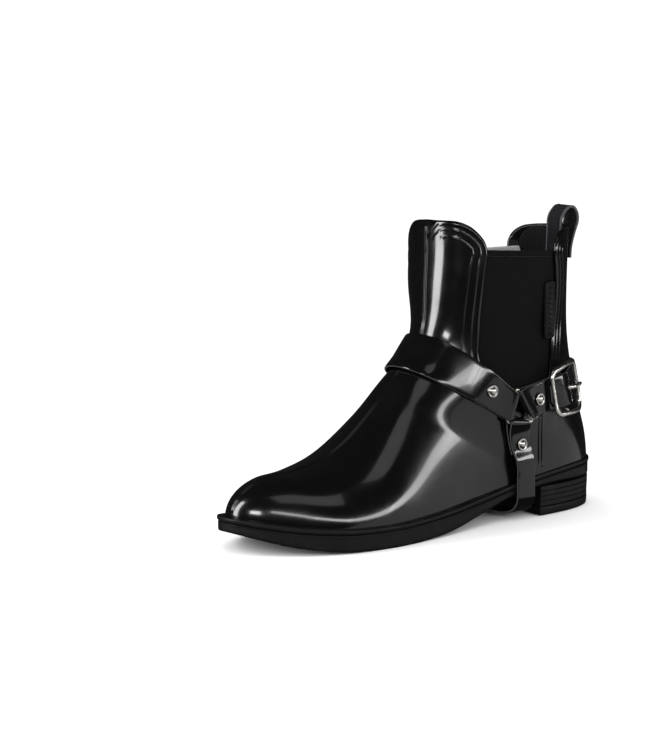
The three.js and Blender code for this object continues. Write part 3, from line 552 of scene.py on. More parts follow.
# ---- node materials ----
def material(name, color, roughness, metallic=0.0, coat=0.0, specular=0.5):
    made = bpy.data.materials.new(name)
    made.use_nodes = True
    tree = made.node_tree
    shader = tree.nodes["Principled BSDF"]
    shader.inputs["Base Color"].default_value = (*color, 1)
    shader.inputs["Roughness"].default_value = roughness
    shader.inputs["Metallic"].default_value = metallic
    shader.inputs["Coat Weight"].default_value = coat
    shader.inputs["Coat Roughness"].default_value = 0.03
    shader.inputs["Specular IOR Level"].default_value = specular
    return made, Nodes(tree, shader)


class Nodes:
    """Short names for the few node set-ups that the materials share."""

    def __init__(self, tree, shader):
        self.tree, self.shader = tree, shader
        self.place = tree.nodes.new("ShaderNodeTexCoord").outputs["Object"]

    def new(self, kind, inputs=(), **settings):
        node = self.tree.nodes.new(kind)
        for key, value in settings.items():
            setattr(node, key, value)
        for key, value in dict(inputs).items():
            if isinstance(value, bpy.types.NodeSocket):
                self.tree.links.new(value, node.inputs[key])
            else:
                node.inputs[key].default_value = value
        return node

    def stretched(self, scale, turn):
        inputs = {"Vector": self.place, "Scale": scale, "Rotation": turn}
        return self.new("ShaderNodeMapping", inputs).outputs["Vector"]

    def noise(self, scale, detail=4, roughness=0.5, vector=None):
        inputs = {"Vector": vector or self.place, "Scale": scale, "Detail": detail, "Roughness": roughness}
        return self.new("ShaderNodeTexNoise", inputs).outputs["Fac"]

    def ribs(self, pitch, direction, distortion=0.0, detail_scale=1.0):
        """Sine bands of the given pitch, in metres."""
        inputs = {
            "Vector": self.place,
            "Scale": math.pi / pitch / 10,
            "Distortion": distortion,
            "Detail Scale": detail_scale,
        }
        node = self.new("ShaderNodeTexWave", inputs, wave_type="BANDS", bands_direction=direction)
        return node.outputs["Fac"]

    def ramp(self, value, low, high, out_low=0.0, out_high=1.0):
        inputs = {"Value": value, "From Min": low, "From Max": high, "To Min": out_low, "To Max": out_high}
        return self.new("ShaderNodeMapRange", inputs).outputs["Result"]

    def math(self, operation, a, b):
        node = self.tree.nodes.new("ShaderNodeMath")
        node.operation = operation
        for socket, value in zip(node.inputs, (a, b)):
            if isinstance(value, bpy.types.NodeSocket):
                self.tree.links.new(value, socket)
            else:
                socket.default_value = value
        return node.outputs["Value"]

    def mixed(self, share, a, b):
        node = self.new("ShaderNodeMix", data_type="RGBA")
        self.tree.links.new(share, node.inputs["Factor"])
        for socket, color in ((node.inputs["A"], a), (node.inputs["B"], b)):
            socket.default_value = (*color, 1)
        return node.outputs["Result"]

    def bump(self, height, depth):
        inputs = {"Height": height, "Distance": depth, "Strength": 1.0}
        return self.new("ShaderNodeBump", inputs).outputs["Normal"]

    def to(self, key, value):
        self.tree.links.new(value, self.shader.inputs[key])


def gloss_rubber(name, color, low, high, ripple):
    """Mirror-like moulded rubber: faint flow ripples, a haze of handling marks and fine dust."""
    made, n = material(name, color, 0.06, coat=0.45, specular=0.6)
    haze = n.noise(34, detail=6, roughness=0.62)
    dust = n.ramp(n.noise(2300, detail=2), 0.7, 0.78)
    n.to("Roughness", n.math("ADD", n.ramp(haze, 0.35, 0.75, low, high), n.math("MULTIPLY", dust, 0.12)))
    n.to("Base Color", n.mixed(dust, color, tuple(min(1, c * 3.5 + 0.006) for c in color)))
    n.to("Normal", n.bump(n.noise(26, detail=2, roughness=0.4), ripple))
    return made


def sole_material(name, color):
    """Matte moulded rubber with a fine pebble and scuffed high spots."""
    made, n = material(name, color, 0.5, specular=0.22)
    pebble = n.noise(1500, detail=3)
    scuff = n.ramp(n.noise(90, detail=8, roughness=0.7), 0.55, 0.8)
    n.to("Base Color", n.mixed(scuff, color, tuple(c * 2.2 + 0.001 for c in color)))
    n.to("Roughness", n.ramp(n.noise(60, detail=5), 0.3, 0.7, 0.38, 0.62))
    n.to("Normal", n.bump(pebble, 0.00009))
    return made


def woven(name, color, pale, rib, pitch, direction="X", depth=0.00016):
    """Ribbed elastic or webbing: ribs along one way, picks across them and a little fluff."""
    made, n = material(name, color, 0.9, specular=0.08)
    ribs = n.ribs(pitch, direction)
    other = "Z" if direction != "Z" else "X"
    picks = n.ribs(pitch * 0.55, other, distortion=0.6)
    weave = n.math("ADD", n.math("MULTIPLY", ribs, rib), n.math("MULTIPLY", picks, 1 - rib))
    fluff = n.noise(1800, detail=3)
    shade = n.math("ADD", n.math("MULTIPLY", weave, 0.75), n.math("MULTIPLY", fluff, 0.25))
    n.to("Base Color", n.mixed(shade, color, pale))
    n.to("Normal", n.bump(weave, depth))
    n.shader.inputs["Sheen Weight"].default_value = 0.01
    return made


def knitted(name, color, pale, pitch=0.0011):
    """Fine knit: rows and columns of loops that cross."""
    made, n = material(name, color, 0.92, specular=0.2)
    rows = n.ribs(pitch, "Z", distortion=1.2, detail_scale=2)
    loops = n.ribs(pitch, "X", distortion=1.2, detail_scale=2)
    cloth = n.math("MULTIPLY", rows, loops)
    n.to("Base Color", n.mixed(cloth, color, pale))
    n.to("Normal", n.bump(cloth, 0.00018))
    n.shader.inputs["Sheen Weight"].default_value = 0.02
    return made


def nickel_plate(name, color):
    """Polished plate with fine wear scratches and slight tarnish in patches."""
    made, n = material(name, color, 0.16, metallic=1.0)
    scratch = n.noise(900, detail=6, roughness=0.8, vector=n.stretched((1, 0.12, 1), (0.3, 0.4, 0.5)))
    tarnish = n.ramp(n.noise(150, detail=5), 0.5, 0.75)
    n.to("Roughness", n.ramp(scratch, 0.35, 0.7, 0.16, 0.32))
    n.to("Base Color", n.mixed(tarnish, color, tuple(c * f for c, f in zip(color, (0.82, 0.74, 0.66)))))
    n.to("Normal", n.bump(scratch, 0.000015))
    return made


def cut_edge(name, color):
    """Plain matte stock: cut edges, thread, piping and board."""
    made, n = material(name, color, 0.55, specular=0.4)
    n.to("Base Color", n.mixed(n.noise(700, detail=4), color, tuple(c * 1.6 for c in color)))
    n.to("Normal", n.bump(n.noise(1500, detail=3), 0.00006))
    return made


upper_rubber = gloss_rubber("upper_rubber", (0.0016, 0.0016, 0.0018), 0.13, 0.24, 0.00022)
strap_gloss = gloss_rubber("patent_strap", (0.0018, 0.0018, 0.002), 0.1, 0.2, 0.00035)
strap_edge = cut_edge("strap_edge", (0.05, 0.05, 0.052))
sole_rubber = sole_material("sole_rubber", (0.0045, 0.0045, 0.0048))
tag_rubber = sole_material("tag_rubber", (0.006, 0.006, 0.0065))
gore_cloth = woven("elastic_gore", (0.0014, 0.0014, 0.0016), (0.0042, 0.0042, 0.0046), 0.75, 0.0011)
gore_back = woven("gore_backing", (0.25, 0.25, 0.255), (0.42, 0.42, 0.43), 0.6, 0.0011)
loop_cloth = woven("loop_webbing", (0.004, 0.004, 0.0045), (0.016, 0.016, 0.018), 0.6, 0.0012, "Z")
piping = cut_edge("loop_piping", (0.035, 0.035, 0.038))
lining_knit = knitted("lining_fabric", (0.004, 0.004, 0.005), (0.018, 0.018, 0.02))
footbed_cloth = knitted("footbed_fabric", (0.03, 0.03, 0.033), (0.09, 0.09, 0.095), 0.0014)
nickel = nickel_plate("nickel", (0.70, 0.68, 0.65))
thread = cut_edge("sewing_thread", (0.008, 0.008, 0.009))
fibreboard = cut_edge("fibreboard", (0.34, 0.27, 0.18))
cork_filler = cut_edge("bottom_filler", (0.25, 0.15, 0.08))
spring_steel = nickel_plate("shank_steel", (0.42, 0.43, 0.45))


# ---- upper shell ----
GORE = [
    (103, 148), (104.5, 132), (105, 112), (105.3, 97), (100, 84.5), (89.5, 75), (77, 68.3), (66, 66),
    (57, 68.3), (50, 75.5), (45, 85), (41, 96), (38.3, 110), (36.8, 126), (37.6, 141), (39.8, 151.5),
]
REAR_TOP = [(38.6, 157), (35.5, 161), (31, 163.6), (25, 164.5), (18, 164.6), (12.9, 164.6)]
FRONT_PEAK = (122.6, 174.6)
FRONT_TOP = [FRONT_PEAK, (120.5, 174.8), (118, 174.8), (112.5, 172.6), (106.7, 167.6)]
FRONT_TOP += [(103, 162.5), (101.7, 156.5)]
FRONT_TOP_MEDIAL = [FRONT_PEAK, (121.2, 173.4), (117.5, 168.2), (113.5, 160.5), (109, 151)]
FRONT_TOP_MEDIAL += [(107, 141), (105.5, 128)]
trim = {
    LATERAL: Edge(FRONT_TOP + GORE + REAR_TOP),
    MEDIAL: Edge(FRONT_TOP_MEDIAL + GORE[2:] + REAR_TOP),
}
ROLL = RUBBER / 2
RIB_AT = [4.9, 8.75]
RIM_ROWS = [0.12, 0.35, 0.65, 1.0, 1.4, 1.9, 2.5, 3.2, 4.0, 4.4, 4.65, 4.9, 5.15, 5.4, 5.8, 6.6, 7.6]
RIM_ROWS += [8.2, 8.5, 8.75, 9.0, 9.25, 9.7, 10.6]


def bell(t, width):
    return np.exp(-((t / width) ** 2))


def outer_offset(gap):
    """Outer face at a distance from the trim line: rolled edge, bead and two moulded ribs."""
    round_edge = np.where(gap < ROLL, np.sqrt(np.maximum(ROLL**2 - (ROLL - gap) ** 2, 0)) - ROLL, 0)
    ribs = sum(0.3 * bell(gap - place, 0.38) for place in RIB_AT)
    return round_edge + 0.3 * bell(gap - 1.6, 0.8) * smooth(gap / 0.6) + ribs * (gap > 3)


def inner_offset(gap):
    return np.where(gap < ROLL, -np.sqrt(np.maximum(ROLL**2 - (ROLL - gap) ** 2, 0)) - ROLL, -RUBBER)


def build_upper():
    patches = []
    for side in (LATERAL, MEDIAL):
        patches.append((trim[side], side, *trimmed_patch(trim[side], RIM_ROWS, SKIN_SPACING, 11.2)))
    points, normals, faces = layered(patches, outer_offset, inner_offset)
    shell = Shell().add(points, faces + close_bottom(points, faces))
    shell.normals = normals
    shell.made("upper_rubber_shell", [upper_rubber], slot="upper_rubber", replaces=["upper_shell"])


# ---- lining and gores ----
def grown(outline, distance):
    """Outline pushed away from the middle of the gore, less in height than in length."""
    middle = np.array([71.0, 112.0])
    out = []
    for x, z in outline:
        d = np.array([x - middle[0], (z - middle[1]) * 0.55])
        out.append((x + distance * d[0] / np.hypot(*d), z + distance * d[1] / np.hypot(*d)))
    return out


LINING_DEPTH = RUBBER + GAP


def build_lining():
    tops = {
        LATERAL: [(122.6, 173.4), (118, 173.5), (113, 170.8)],
        MEDIAL: [(122.6, 173.4), (120.6, 172), (116, 166)],
    }
    patches = []
    for side in (LATERAL, MEDIAL):
        wide = grown(GORE[2:], 8.5)
        edge = Edge(tops[side] + wide + [(30, 160.5), (26, 163), (18, 163.5), (12.9, 163.5)])
        patches.append((edge, side, *trimmed_patch(edge, [0.2, 0.6, 1.3], LINING_SPACING, 3)))
    half = LINING / 2
    curve = lambda gap: np.where(gap < half, np.sqrt(np.maximum(half**2 - (half - gap) ** 2, 0)), half)
    middle = -(LINING_DEPTH + half)
    points, normals, faces = layered(patches, lambda g: middle + curve(g), lambda g: middle - curve(g))
    shell = Shell().add(points, faces + close_bottom(points, faces))
    shell.normals = normals
    shell.made("knit_lining", [lining_knit], slot="lining_fabric", replaces=["lining"])


def build_gore(side):
    """Elastic panel behind the opening: a cloth sheet with a turned hem along its top."""
    top = {LATERAL: [(108, 158.7), (33.5, 152)], MEDIAL: [(114, 150.5), (33.5, 152)]}[side]
    around = grown(([(103, 148)] if side == LATERAL else [(107, 141)]) + GORE[1:-1], 7)
    loop = resample(np.array([top[0]] + around + [top[1]]), 1.6)
    hem = np.linspace(top[1], top[0], 50)[1:-1]
    boundary = np.vstack([loop, hem])
    places = np.meshgrid(np.arange(30, 118, GORE_SPACING), np.arange(56, 160, GORE_SPACING), indexing="ij")
    grid = np.stack([axis.ravel() for axis in places], 1)
    line = np.array(top[0]) - np.array(top[1])
    line = line / np.linalg.norm(line)
    below = np.array([line[1], -line[0]])
    hem_row = np.linspace(top[1], top[0], 60)[1:-1]
    hem_rows = [hem_row + below * d for d in (0.25, 0.6, 1.1, 4.6, 5.0, 5.3, 5.7)]
    keep = (grid - np.array(top[1])) @ below > 6.3
    closed = np.vstack([boundary, boundary[:1]])
    cloud = np.vstack([grid[keep]] + hem_rows)
    gap = np.min(np.linalg.norm(cloud[:, None] - closed[None, ::2], axis=2), axis=1)
    flat = np.vstack([boundary, cloud[gap > 0.2]])
    co, triangles, _ = triangulated(flat, len(boundary))
    skin = on_skin(co[:, 0], co[:, 1], side)
    n = normal_at(skin)
    down = (co - np.array(top[1])) @ below
    fat = 0.45 * smooth((5.6 - down) / 0.9)
    roll = np.where(down < 0.6, -0.55 + np.sqrt(np.maximum(0.36 - (0.6 - down) ** 2, 0)), 0.05)
    count = len(co)
    outer = skin - n * (LINING_DEPTH - 0.1 - fat * 0.5 - roll)[:, None]
    inner = skin - n * (LINING_DEPTH + ELASTIC + fat * 0.5 + roll)[:, None]
    front_faces = [t if side > 0 else t[::-1] for t in triangles]
    back_faces = [tuple(count + i for i in t[::-1]) for t in front_faces]
    rim_faces = [(b, a, count + a, count + b) for a, b in open_edges(front_faces)]
    kinds = [0] * len(front_faces) + [1] * len(back_faces) + [0] * len(rim_faces)
    name = "lateral" if side > 0 else "medial"
    shell = Shell().add(np.vstack([outer, inner]), front_faces + back_faces + rim_faces, kinds)
    looks = [gore_cloth, gore_back]
    shell.made(f"elastic_gore_{name}", looks, slot="elastic_gore", replaces=[f"gore_{name}"])
    places = np.linspace(np.array(top[1]) + line * 9, np.array(top[0]) - line * 9, 27) + below * 3.4
    on_top = on_skin(places[:, 0], places[:, 1], side)
    lifted = on_top - normal_at(on_top) * (LINING_DEPTH - 0.45)
    stitches(f"gore_hem_stitches_{name}", lifted, normal_at(on_top), 1.9, 0.2)


def stitches(name, points, normals, length, radius):
    """Row of short threads, one at each point, following the row."""
    shell = Shell()
    ahead = unit(np.gradient(points, axis=0))
    for p, n, a in zip(points, normals, ahead):
        n = unit(n - a * (n @ a))
        t = np.array([-0.5, -0.42, -0.25, 0, 0.25, 0.42, 0.5])
        path = p + np.outer(t * length, a) + np.outer(radius * (0.9 - 5.5 * t**2), n)
        r = radius * np.array([0.35, 0.8, 1, 1, 1, 0.8, 0.35])
        shell.add(*rod(path, np.stack([r, r], 1), 7, False, n))
    shell.made(name, [thread])


# ---- bottom of the boot ----
def footprint(count):
    """Outline of the upper where it meets the sole: outer side front to back, then the inner side."""
    zero = np.zeros(1)
    front = crossing(lambda x: outside(x, middle_y(x), sole_top(x)), zero + 60, zero + 300)[0]
    back_x = -crossing(lambda u: outside(-u, middle_y(-u), sole_top(-u)), zero - 60, zero + 60)[0]
    x = (front + back_x) / 2 + (front - back_x) / 2 * np.cos(np.linspace(0, math.pi, 8 * count + 1))
    halves = []
    for side in (LATERAL, MEDIAL):
        half = on_skin(x, sole_top(x), side)
        half[[0, -1], 1] = middle_y(x[[0, -1]])
        run = run_of(half)
        even = np.linspace(0, run[-1], count + 1)
        halves.append(np.stack([np.interp(even, run, half[:, i]) for i in range(3)], 1))
    return np.vstack([halves[0], halves[1][::-1][1:-1]])


RIM = footprint(220)
RIM_OUT = unit(normal_at(RIM) * [1, 1, 0])


def sole_loop(inset, height):
    """Outline of the sole at an inset from the welt's edge; height gives z from x."""
    flat = RIM + RIM_OUT * (welt_margin(RIM[:, 0]) - inset)[:, None]
    return np.column_stack([flat[:, :2], height(flat[:, 0])])


def cap_grid(loop, across, height_of_cap, reverse):
    """Grid of points across a loop, between points that face each other, joined to the loop itself."""
    half = len(loop) // 2
    t = np.linspace(0, 1, across)[1:-1]
    points, faces = [], []
    grid = np.full((half + 1, across), -1)
    grid[:, 0] = np.arange(half + 1)
    grid[1:half, -1] = len(loop) - np.arange(1, half)
    grid[0, -1], grid[half, -1] = 0, half
    for k in range(1, half):
        a, b = loop[k], loop[len(loop) - k]
        row = a + (b - a) * t[:, None]
        row[:, 2] = height_of_cap(row, np.minimum(t, 1 - t) * np.linalg.norm(b - a))
        grid[k, 1:-1] = len(loop) + sum(len(p) for p in points) + np.arange(len(t))
        points.append(row)
    grid[0, 1:-1], grid[half, 1:-1] = 0, half
    for k in range(half):
        for j in range(across - 1):
            quad = [grid[k, j], grid[k, j + 1], grid[k + 1, j + 1], grid[k + 1, j]]
            quad = [int(q) for i, q in enumerate(quad) if q != quad[i - 1]]
            if len(set(quad)) >= 3:
                faces.append(tuple(quad[::-1] if reverse else quad))
    return np.vstack(points), faces


def loft(rows, across, bottom_height, top_height):
    """Closed solid from sole loops, bottom to top, with gridded caps."""
    loops = np.array(rows)
    count, width = loops.shape[:2]
    points = loops.reshape(-1, 3)
    faces = loops_faces(count, width)
    under, under_faces = cap_grid(loops[0], across, bottom_height, True)
    base = len(points)
    faces += [tuple(i if i < width else base + i - width for i in f) for f in under_faces]
    points = np.vstack([points, under])
    over, over_faces = cap_grid(loops[-1], 8, top_height, False)
    base, top = len(points), (count - 1) * width
    faces += [tuple(top + i if i < width else base + i - width for i in f) for f in over_faces]
    return np.vstack([points, over]), faces


def build_welt():
    """Welt strip: rounded edge, and a fine groove where it meets the upper."""
    rows = [(6, -WELT), (0.9, -WELT), (0.45, -2.62), (0.15, -2.4), (0.02, -2.0), (0, -1.3), (0.02, -0.75)]
    rows += [(0.12, -0.38), (0.35, -0.14), (0.7, -0.03), (1.1, 0.0), (1.7, 0.0)]
    rows += [(1.9, -0.16), (2.1, -0.16), (2.3, 0.0), (6, 0.02)]
    loops = [sole_loop(inset, lambda x, h=h: sole_top(x) + h) for inset, h in rows]
    points, faces = tube(np.array(loops), closed=True)
    Shell().add(points, faces).made("welt_strip", [sole_rubber], slot="sole_rubber", replaces=["welt"])


def tread(row, inward):
    """Underside: shallow wavy bars across the tread and waist, inside a plain rim."""
    x, y = row[:, 0], row[:, 1]
    wave = np.sin(2 * math.pi * (x + 1.6 * np.sin(y / 5.5)) / 6.4)
    groove = smooth((wave - 0.1) / 0.5) * smooth((inward - 5) / 1.5) * smooth((x - 62) / 4)
    return np.maximum(sole_bottom(x), 0) + 0.05 + 1.1 * groove


def build_outsole():
    """Outsole: rounded lower edge, plain side, rounded upper edge and the tread underneath."""
    side = [(2.0, 0.0), (1.2, 0.1), (0.8, 0.45), (0.62, 1.0)]
    rows = [sole_loop(inset, lambda x, h=h: np.maximum(sole_bottom(x) + h, 0)) for inset, h in side]
    wall = lambda x: sole_top(x) - WELT - GAP - 1.3 - sole_bottom(x)
    for t in np.linspace(0.1, 0.92, 9):
        rows.append(sole_loop(0.55, lambda x: sole_bottom(x) + 1 + t * wall(x)))
    top = [(0.5, -0.75), (0.55, -0.45), (0.75, -0.2), (1.15, -0.05), (1.8, 0.0)]
    rows += [sole_loop(inset, lambda x, h=h: sole_top(x) - WELT - GAP + h) for inset, h in top]
    flat_top = lambda row, inward: sole_top(row[:, 0]) - WELT - GAP
    points, faces = loft(rows, 56, tread, flat_top)
    outsole = Shell().add(points, faces)
    outsole.made("outsole_rubber", [sole_rubber], slot="sole_rubber", replaces=["outsole"])


def heel_loop(inset, z, count=150, face=24):
    """Level outline of the heel: the footprint behind the heel's front, closed by a hollow front face."""
    whole = RIM + RIM_OUT * (welt_margin(RIM[:, 0]) - inset)[:, None]
    behind = whole[whole[:, 0] < HEEL_FRONT - inset * 0.3][:, :2]
    run = run_of(behind)
    even = np.linspace(0, run[-1], count)
    behind = np.stack([np.interp(even, run, behind[:, i]) for i in range(2)], 1)
    t = np.linspace(0, 1, face + 2)[1:-1, None]
    front = behind[-1] + (behind[0] - behind[-1]) * t
    front[:, 0] -= 2.4 * np.sin(math.pi * t[:, 0])
    flat = np.vstack([behind, front])
    return np.column_stack([flat, np.full(len(flat), z)])


def build_heel():
    """Heel block with the moulded lines of stacked lifts, and the separate wearing piece under it."""
    lifts = [8.3, 11.3, 14.3]
    rows = []
    for z in np.linspace(TOP_LIFT + GAP, HEEL_SEAT, 90):
        t = (z - TOP_LIFT) / (HEEL_SEAT - TOP_LIFT)
        lower_edge = 0.35 * smooth((TOP_LIFT + GAP + 0.35 - z) / 0.35)
        upper_edge = 0.3 * smooth((z - HEEL_SEAT + 0.35) / 0.35)
        groove = sum(0.42 * bell(z - lift, 0.2) for lift in lifts)
        rows.append(heel_loop(1.1 - 0.4 * t + (lower_edge + upper_edge) + groove, z))
    points, faces = tube(np.array(rows))
    stack = Shell().add(points, faces)
    stack.made("heel_stack", [sole_rubber], slot="sole_rubber", replaces=["heel_block"], sharp=40)
    profile = [(2.2, 0.0), (1.7, 0.12), (1.35, 0.5), (1.2, 1.0), (1.08, 2.4), (1.0, 3.8), (1.0, 4.6)]
    profile += [(1.1, 4.85), (1.35, TOP_LIFT)]
    lift = Shell().add(*tube(np.array([heel_loop(inset, z) for inset, z in profile])))
    lift.made("heel_wearing_piece", [sole_rubber], slot="sole_rubber", replaces=["heel_top_lift"], sharp=40)


def build_footbed():
    """Textile-covered footbed, dished at the heel and rounded at its edge."""
    depth = LINING_DEPTH + LINING + 0.9
    ring = RIM - RIM_OUT * (depth + 2 * smooth((RIM[:, 0] - 215) / 40))[:, None]
    loop = lambda inset, h: np.column_stack([(ring - RIM_OUT * inset)[:, :2], sole_top(ring[:, 0]) + h])
    rows = [loop(0, 4.0), loop(0, 6.6), loop(0.25, 7.3), loop(0.8, 7.8), loop(1.6, 8.0)]

    def dished(row, inward):
        hollow = 0.9 * smooth(inward / 16) * smooth((90 - row[:, 0]) / 50)
        return sole_top(row[:, 0]) + 8 - hollow

    flat = lambda row, inward: sole_top(row[:, 0]) + 4.0
    points, faces = loft(rows, 10, flat, dished)
    footbed = Shell().add(points, faces)
    footbed.made("footbed_cover", [footbed_cloth], slot="footbed_fabric", replaces=["footbed"])


# ---- harness lines ----
UNDER = STRAP_GAP + STRAP / 2
OVER = UNDER + STRAP + 0.6
CROWN = 0.15
RING_HEIGHT = UNDER + STRAP / 2 + GAP + WIRE
RING_TURN = WIRE + GAP + STRAP / 2
BAR_HEIGHT = UNDER + STRAP / 2 + GAP + BAR
BAR_TURN = BAR + GAP + STRAP / 2
RING = np.array([(82.2, 78), (89, 58.4), (69, 58.4)])


class Line:
    """A strap's base line, as frames at distances from the first ring bar."""

    def __init__(self, origin, across, facing, start, finish):
        for _ in range(2):
            middle, side = origin.copy(), across.copy()
            middle[1:-1] = (origin[:-2] + 2 * origin[1:-1] + origin[2:]) / 4
            side[1:-1] = unit((across[:-2] + 2 * across[1:-1] + across[2:]) / 4)
            origin, across = middle, side
        run = run_of(origin)
        last = len(origin) - 1
        ahead = np.minimum(np.arange(last + 1) + 1, last)
        behind = np.maximum(np.arange(last + 1) - 1, 0)
        along = unit(origin[ahead] - origin[behind])
        across = unit(across - along * np.sum(across * along, 1, keepdims=True))
        out = np.cross(along, across)
        out *= np.where(np.sum(out * facing, 1, keepdims=True) < 0, -1, 1)
        self.length = run[finish] - run[start]
        run = run - run[start]
        values = {"origin": origin, "along": along, "across": across, "out": out}
        self.curves = {key: through(list(zip(run, value))) for key, value in values.items()}

    def frame(self, run):
        made = {key: curve(np.asarray(run, float)) for key, curve in self.curves.items()}
        for key in ("along", "across", "out"):
            made[key] = unit(made[key])
        return made


def wrap_line(origin, ahead, up, half_width):
    """Line of a band that wraps the upper from a point inside it, in the plane of ahead and Y."""
    degrees = np.arange(108, -109, -3)
    angle = np.radians(degrees)[:, None]
    direction = ahead * np.cos(angle) + np.array([0, 1.0, 0]) * np.sin(angle)
    starts = [np.broadcast_to(origin + up * w * half_width, direction.shape) for w in (-1, 0, 1)]
    low, mid, high = (way_out(start, direction) for start in starts)
    middle = (low + high) / 2
    middle = middle + direction * np.maximum(0, np.sum((mid - middle) * direction, 1, keepdims=True))
    start, finish = (int(np.argmax(degrees == side)) for side in (90, -90))
    return Line(middle, unit(high - low), direction, start, finish)


def side_direction(dx, dz):
    return unit(np.array([dx, 0.0, dz]))


def above(direction):
    return np.array([-abs(direction[2]), 0, abs(direction[0])])


FRONT_BAR = (RING[0] + RING[1]) / 2
REAR_BAR = (RING[0] + RING[2]) / 2
LOWER_BAR = (RING[1] + RING[2]) / 2
instep_ahead = side_direction(53, 35)
instep_up = above(instep_ahead)
instep_line = wrap_line(np.array([FRONT_BAR[0], 0, FRONT_BAR[1]]), instep_ahead, instep_up, 11)
heel_ahead = side_direction(-55, 6.5)
heel_up = unit(np.array([0.12, 0, 1]))
heel_line = wrap_line(np.array([REAR_BAR[0], 0, REAR_BAR[1]]), heel_ahead, heel_up, 9)


def stirrup_line():
    """Line of the strap under the waist: down the outer side, under the sole and up the inner side."""
    side_view = [(79.3, 66), (LOWER_BAR[0], 58.4), (77.2, 50), (75, 41), (73.4, 32), (72.6, 25), (72.2, 17)]
    side_view = np.array(side_view)

    def at_side(places, side):
        x, z = places[:, 0], places[:, 1]
        reach = crossing(lambda t: outside(x, middle_y(x) + side * t, np.maximum(z, 30)), x * 0, x * 0 + 90)
        return np.stack([x, middle_y(x) + side * (reach + 2.4 * smooth((44 - z) / 14)), z], 1)

    under = np.array([(0, 11.5), (3.4, 7.2), (9, 5), (18, 4.5)])
    halves = []
    for side in (LATERAL, MEDIAL):
        down = at_side(side_view, side)
        turn = np.column_stack([np.full(4, 72.0), down[-1, 1] - side * under[:, 0], under[:, 1]])
        halves.append(np.vstack([down, turn]))
    corners = np.vstack([halves[0], [[72, SHAFT_MIDDLE, 4.3]], halves[1][::-1]])
    path = resample(corners, 1, count=91)
    nearest = lambda side: int(np.argmin(np.linalg.norm(path - at_side(side_view[1:2], side), axis=1)))
    facing = path - np.array([72, SHAFT_MIDDLE, 45])
    across = np.broadcast_to([1.0, 0, 0], path.shape).copy()
    return Line(path, across, facing, nearest(LATERAL), nearest(MEDIAL))


foot_line = stirrup_line()


# ---- straps ----
def strap_section(columns=7):
    """(side, inset from the edge, face, cut edge?) round a strap's section."""
    edge = [(0.0, 0.45), (0.05, 0.75), (0.2, 0.93), (0.5, 1.0)]
    inner = np.linspace(-1, 1, columns + 2)[1:-1]
    top = [(-1, i, f) for i, f in edge] + [(s, 0, 1.0) for s in inner] + [(1, i, f) for i, f in edge[::-1]]
    return top + [(s, i, -f) for s, i, f in top[::-1]]


SECTION = strap_section()


def ribbon(line, path, half_at, lean_at, lift_at=None):
    """Strap along (run, height) points of a line; half width, lean and any lift depend on the run."""
    path = resample(np.array(path), 0.9)
    run, height = path.T
    last = len(path) - 1
    ahead = path[np.minimum(np.arange(last + 1) + 1, last)]
    behind = path[np.maximum(np.arange(last + 1) - 1, 0)]
    d = unit(ahead - behind)
    normal = np.stack([-d[:, 1], d[:, 0]], 1)
    half, lean = half_at(run), lean_at(run)
    rows = []
    for side, inset, face in SECTION:
        w = side * (half - inset)
        share = np.abs(w) / half
        offset = face * STRAP / 2 + CROWN * (1 - share**2)
        if lift_at is not None:
            offset = offset + lift_at(run, w / half)
        r = run + normal[:, 0] * offset
        rows.append(at(line.frame(r + w * lean), 0 * w, w, height + normal[:, 1] * offset))
    loops = np.stack(rows, 1)
    points, faces = tube(loops)
    width = len(SECTION)
    kinds = []
    cut = {k for k, (_, inset, face) in enumerate(SECTION) if inset < 0.1 and abs(face) < 0.9}
    for f in faces:
        ks = {i % width for i in f}
        kinds.append(1 if len(f) == 3 or ks <= cut else 0)
    return points, faces, kinds


def steps(start, end, pitch, height_at):
    count = max(1, round(abs(end - start) / pitch))
    runs = [start + (end - start) * i / count for i in range(count + 1)]
    return [(run, float(height_at(run))) for run in runs]


def fold(run, height, radius, side):
    """Half turn round a bar, from its underside to its top."""
    angles = np.linspace(0, math.pi, 9)
    return [(run + side * radius * math.sin(a), height - radius * math.cos(a)) for a in angles]


MITRE = 2
INSTEP_RIVET, CHAPE_RIVET, HEEL_RIVET, STIRRUP_RIVET = 18, 12, 15, 14
BUCKLE_AT = 34
TAIL_END = BUCKLE_AT - 12
FOLD_TOP = RING_HEIGHT + RING_TURN
leaving_fold = through([(0, FOLD_TOP), (4.5, 4), (9.5, OVER), (25, OVER), (33, UNDER + 0.6), (42, UNDER)])


def slant(bar, ahead, up):
    """How far a ring bar runs along a strap for each millimetre across it."""
    d = np.array([bar[1][0] - bar[0][0], 0, bar[1][1] - bar[0][1]])
    return (d @ ahead) / (d @ up)


front_slant = slant((RING[1], RING[0]), instep_ahead, instep_up)
rear_slant = slant((RING[2], RING[0]), heel_ahead, heel_up)
lower_slant = slant((RING[2], RING[1]), side_direction(-1.8, -8.4), side_direction(8.4, -1.8))


def near_end(run, end):
    return np.minimum(run, end - run)


def folded_strap(line, under_layer, width_at, amount, slack, lift_at=None):
    """Strap from ring to ring, folded round a bar at each end."""
    end = line.length
    height = lambda run: leaving_fold(near_end(run, end)) + slack * smooth((near_end(run, end) - 36) / 20)
    path = (
        steps(under_layer, 1, 3, lambda run: UNDER)
        + fold(0, RING_HEIGHT, RING_TURN, -1)
        + steps(2, end - 2, 3, height)
        + fold(end, RING_HEIGHT, RING_TURN, 1)[::-1]
        + steps(end - 1, end - under_layer, 3, lambda run: UNDER)
    )
    half = lambda run: width_at(near_end(run, end)) + MITRE * np.minimum(near_end(run, end), 0)
    lean = lambda run: np.where(run < end / 2, amount, -amount) * (1 - smooth(near_end(run, end) / 22))
    return ribbon(line, path, half, lean, lift_at=lift_at)


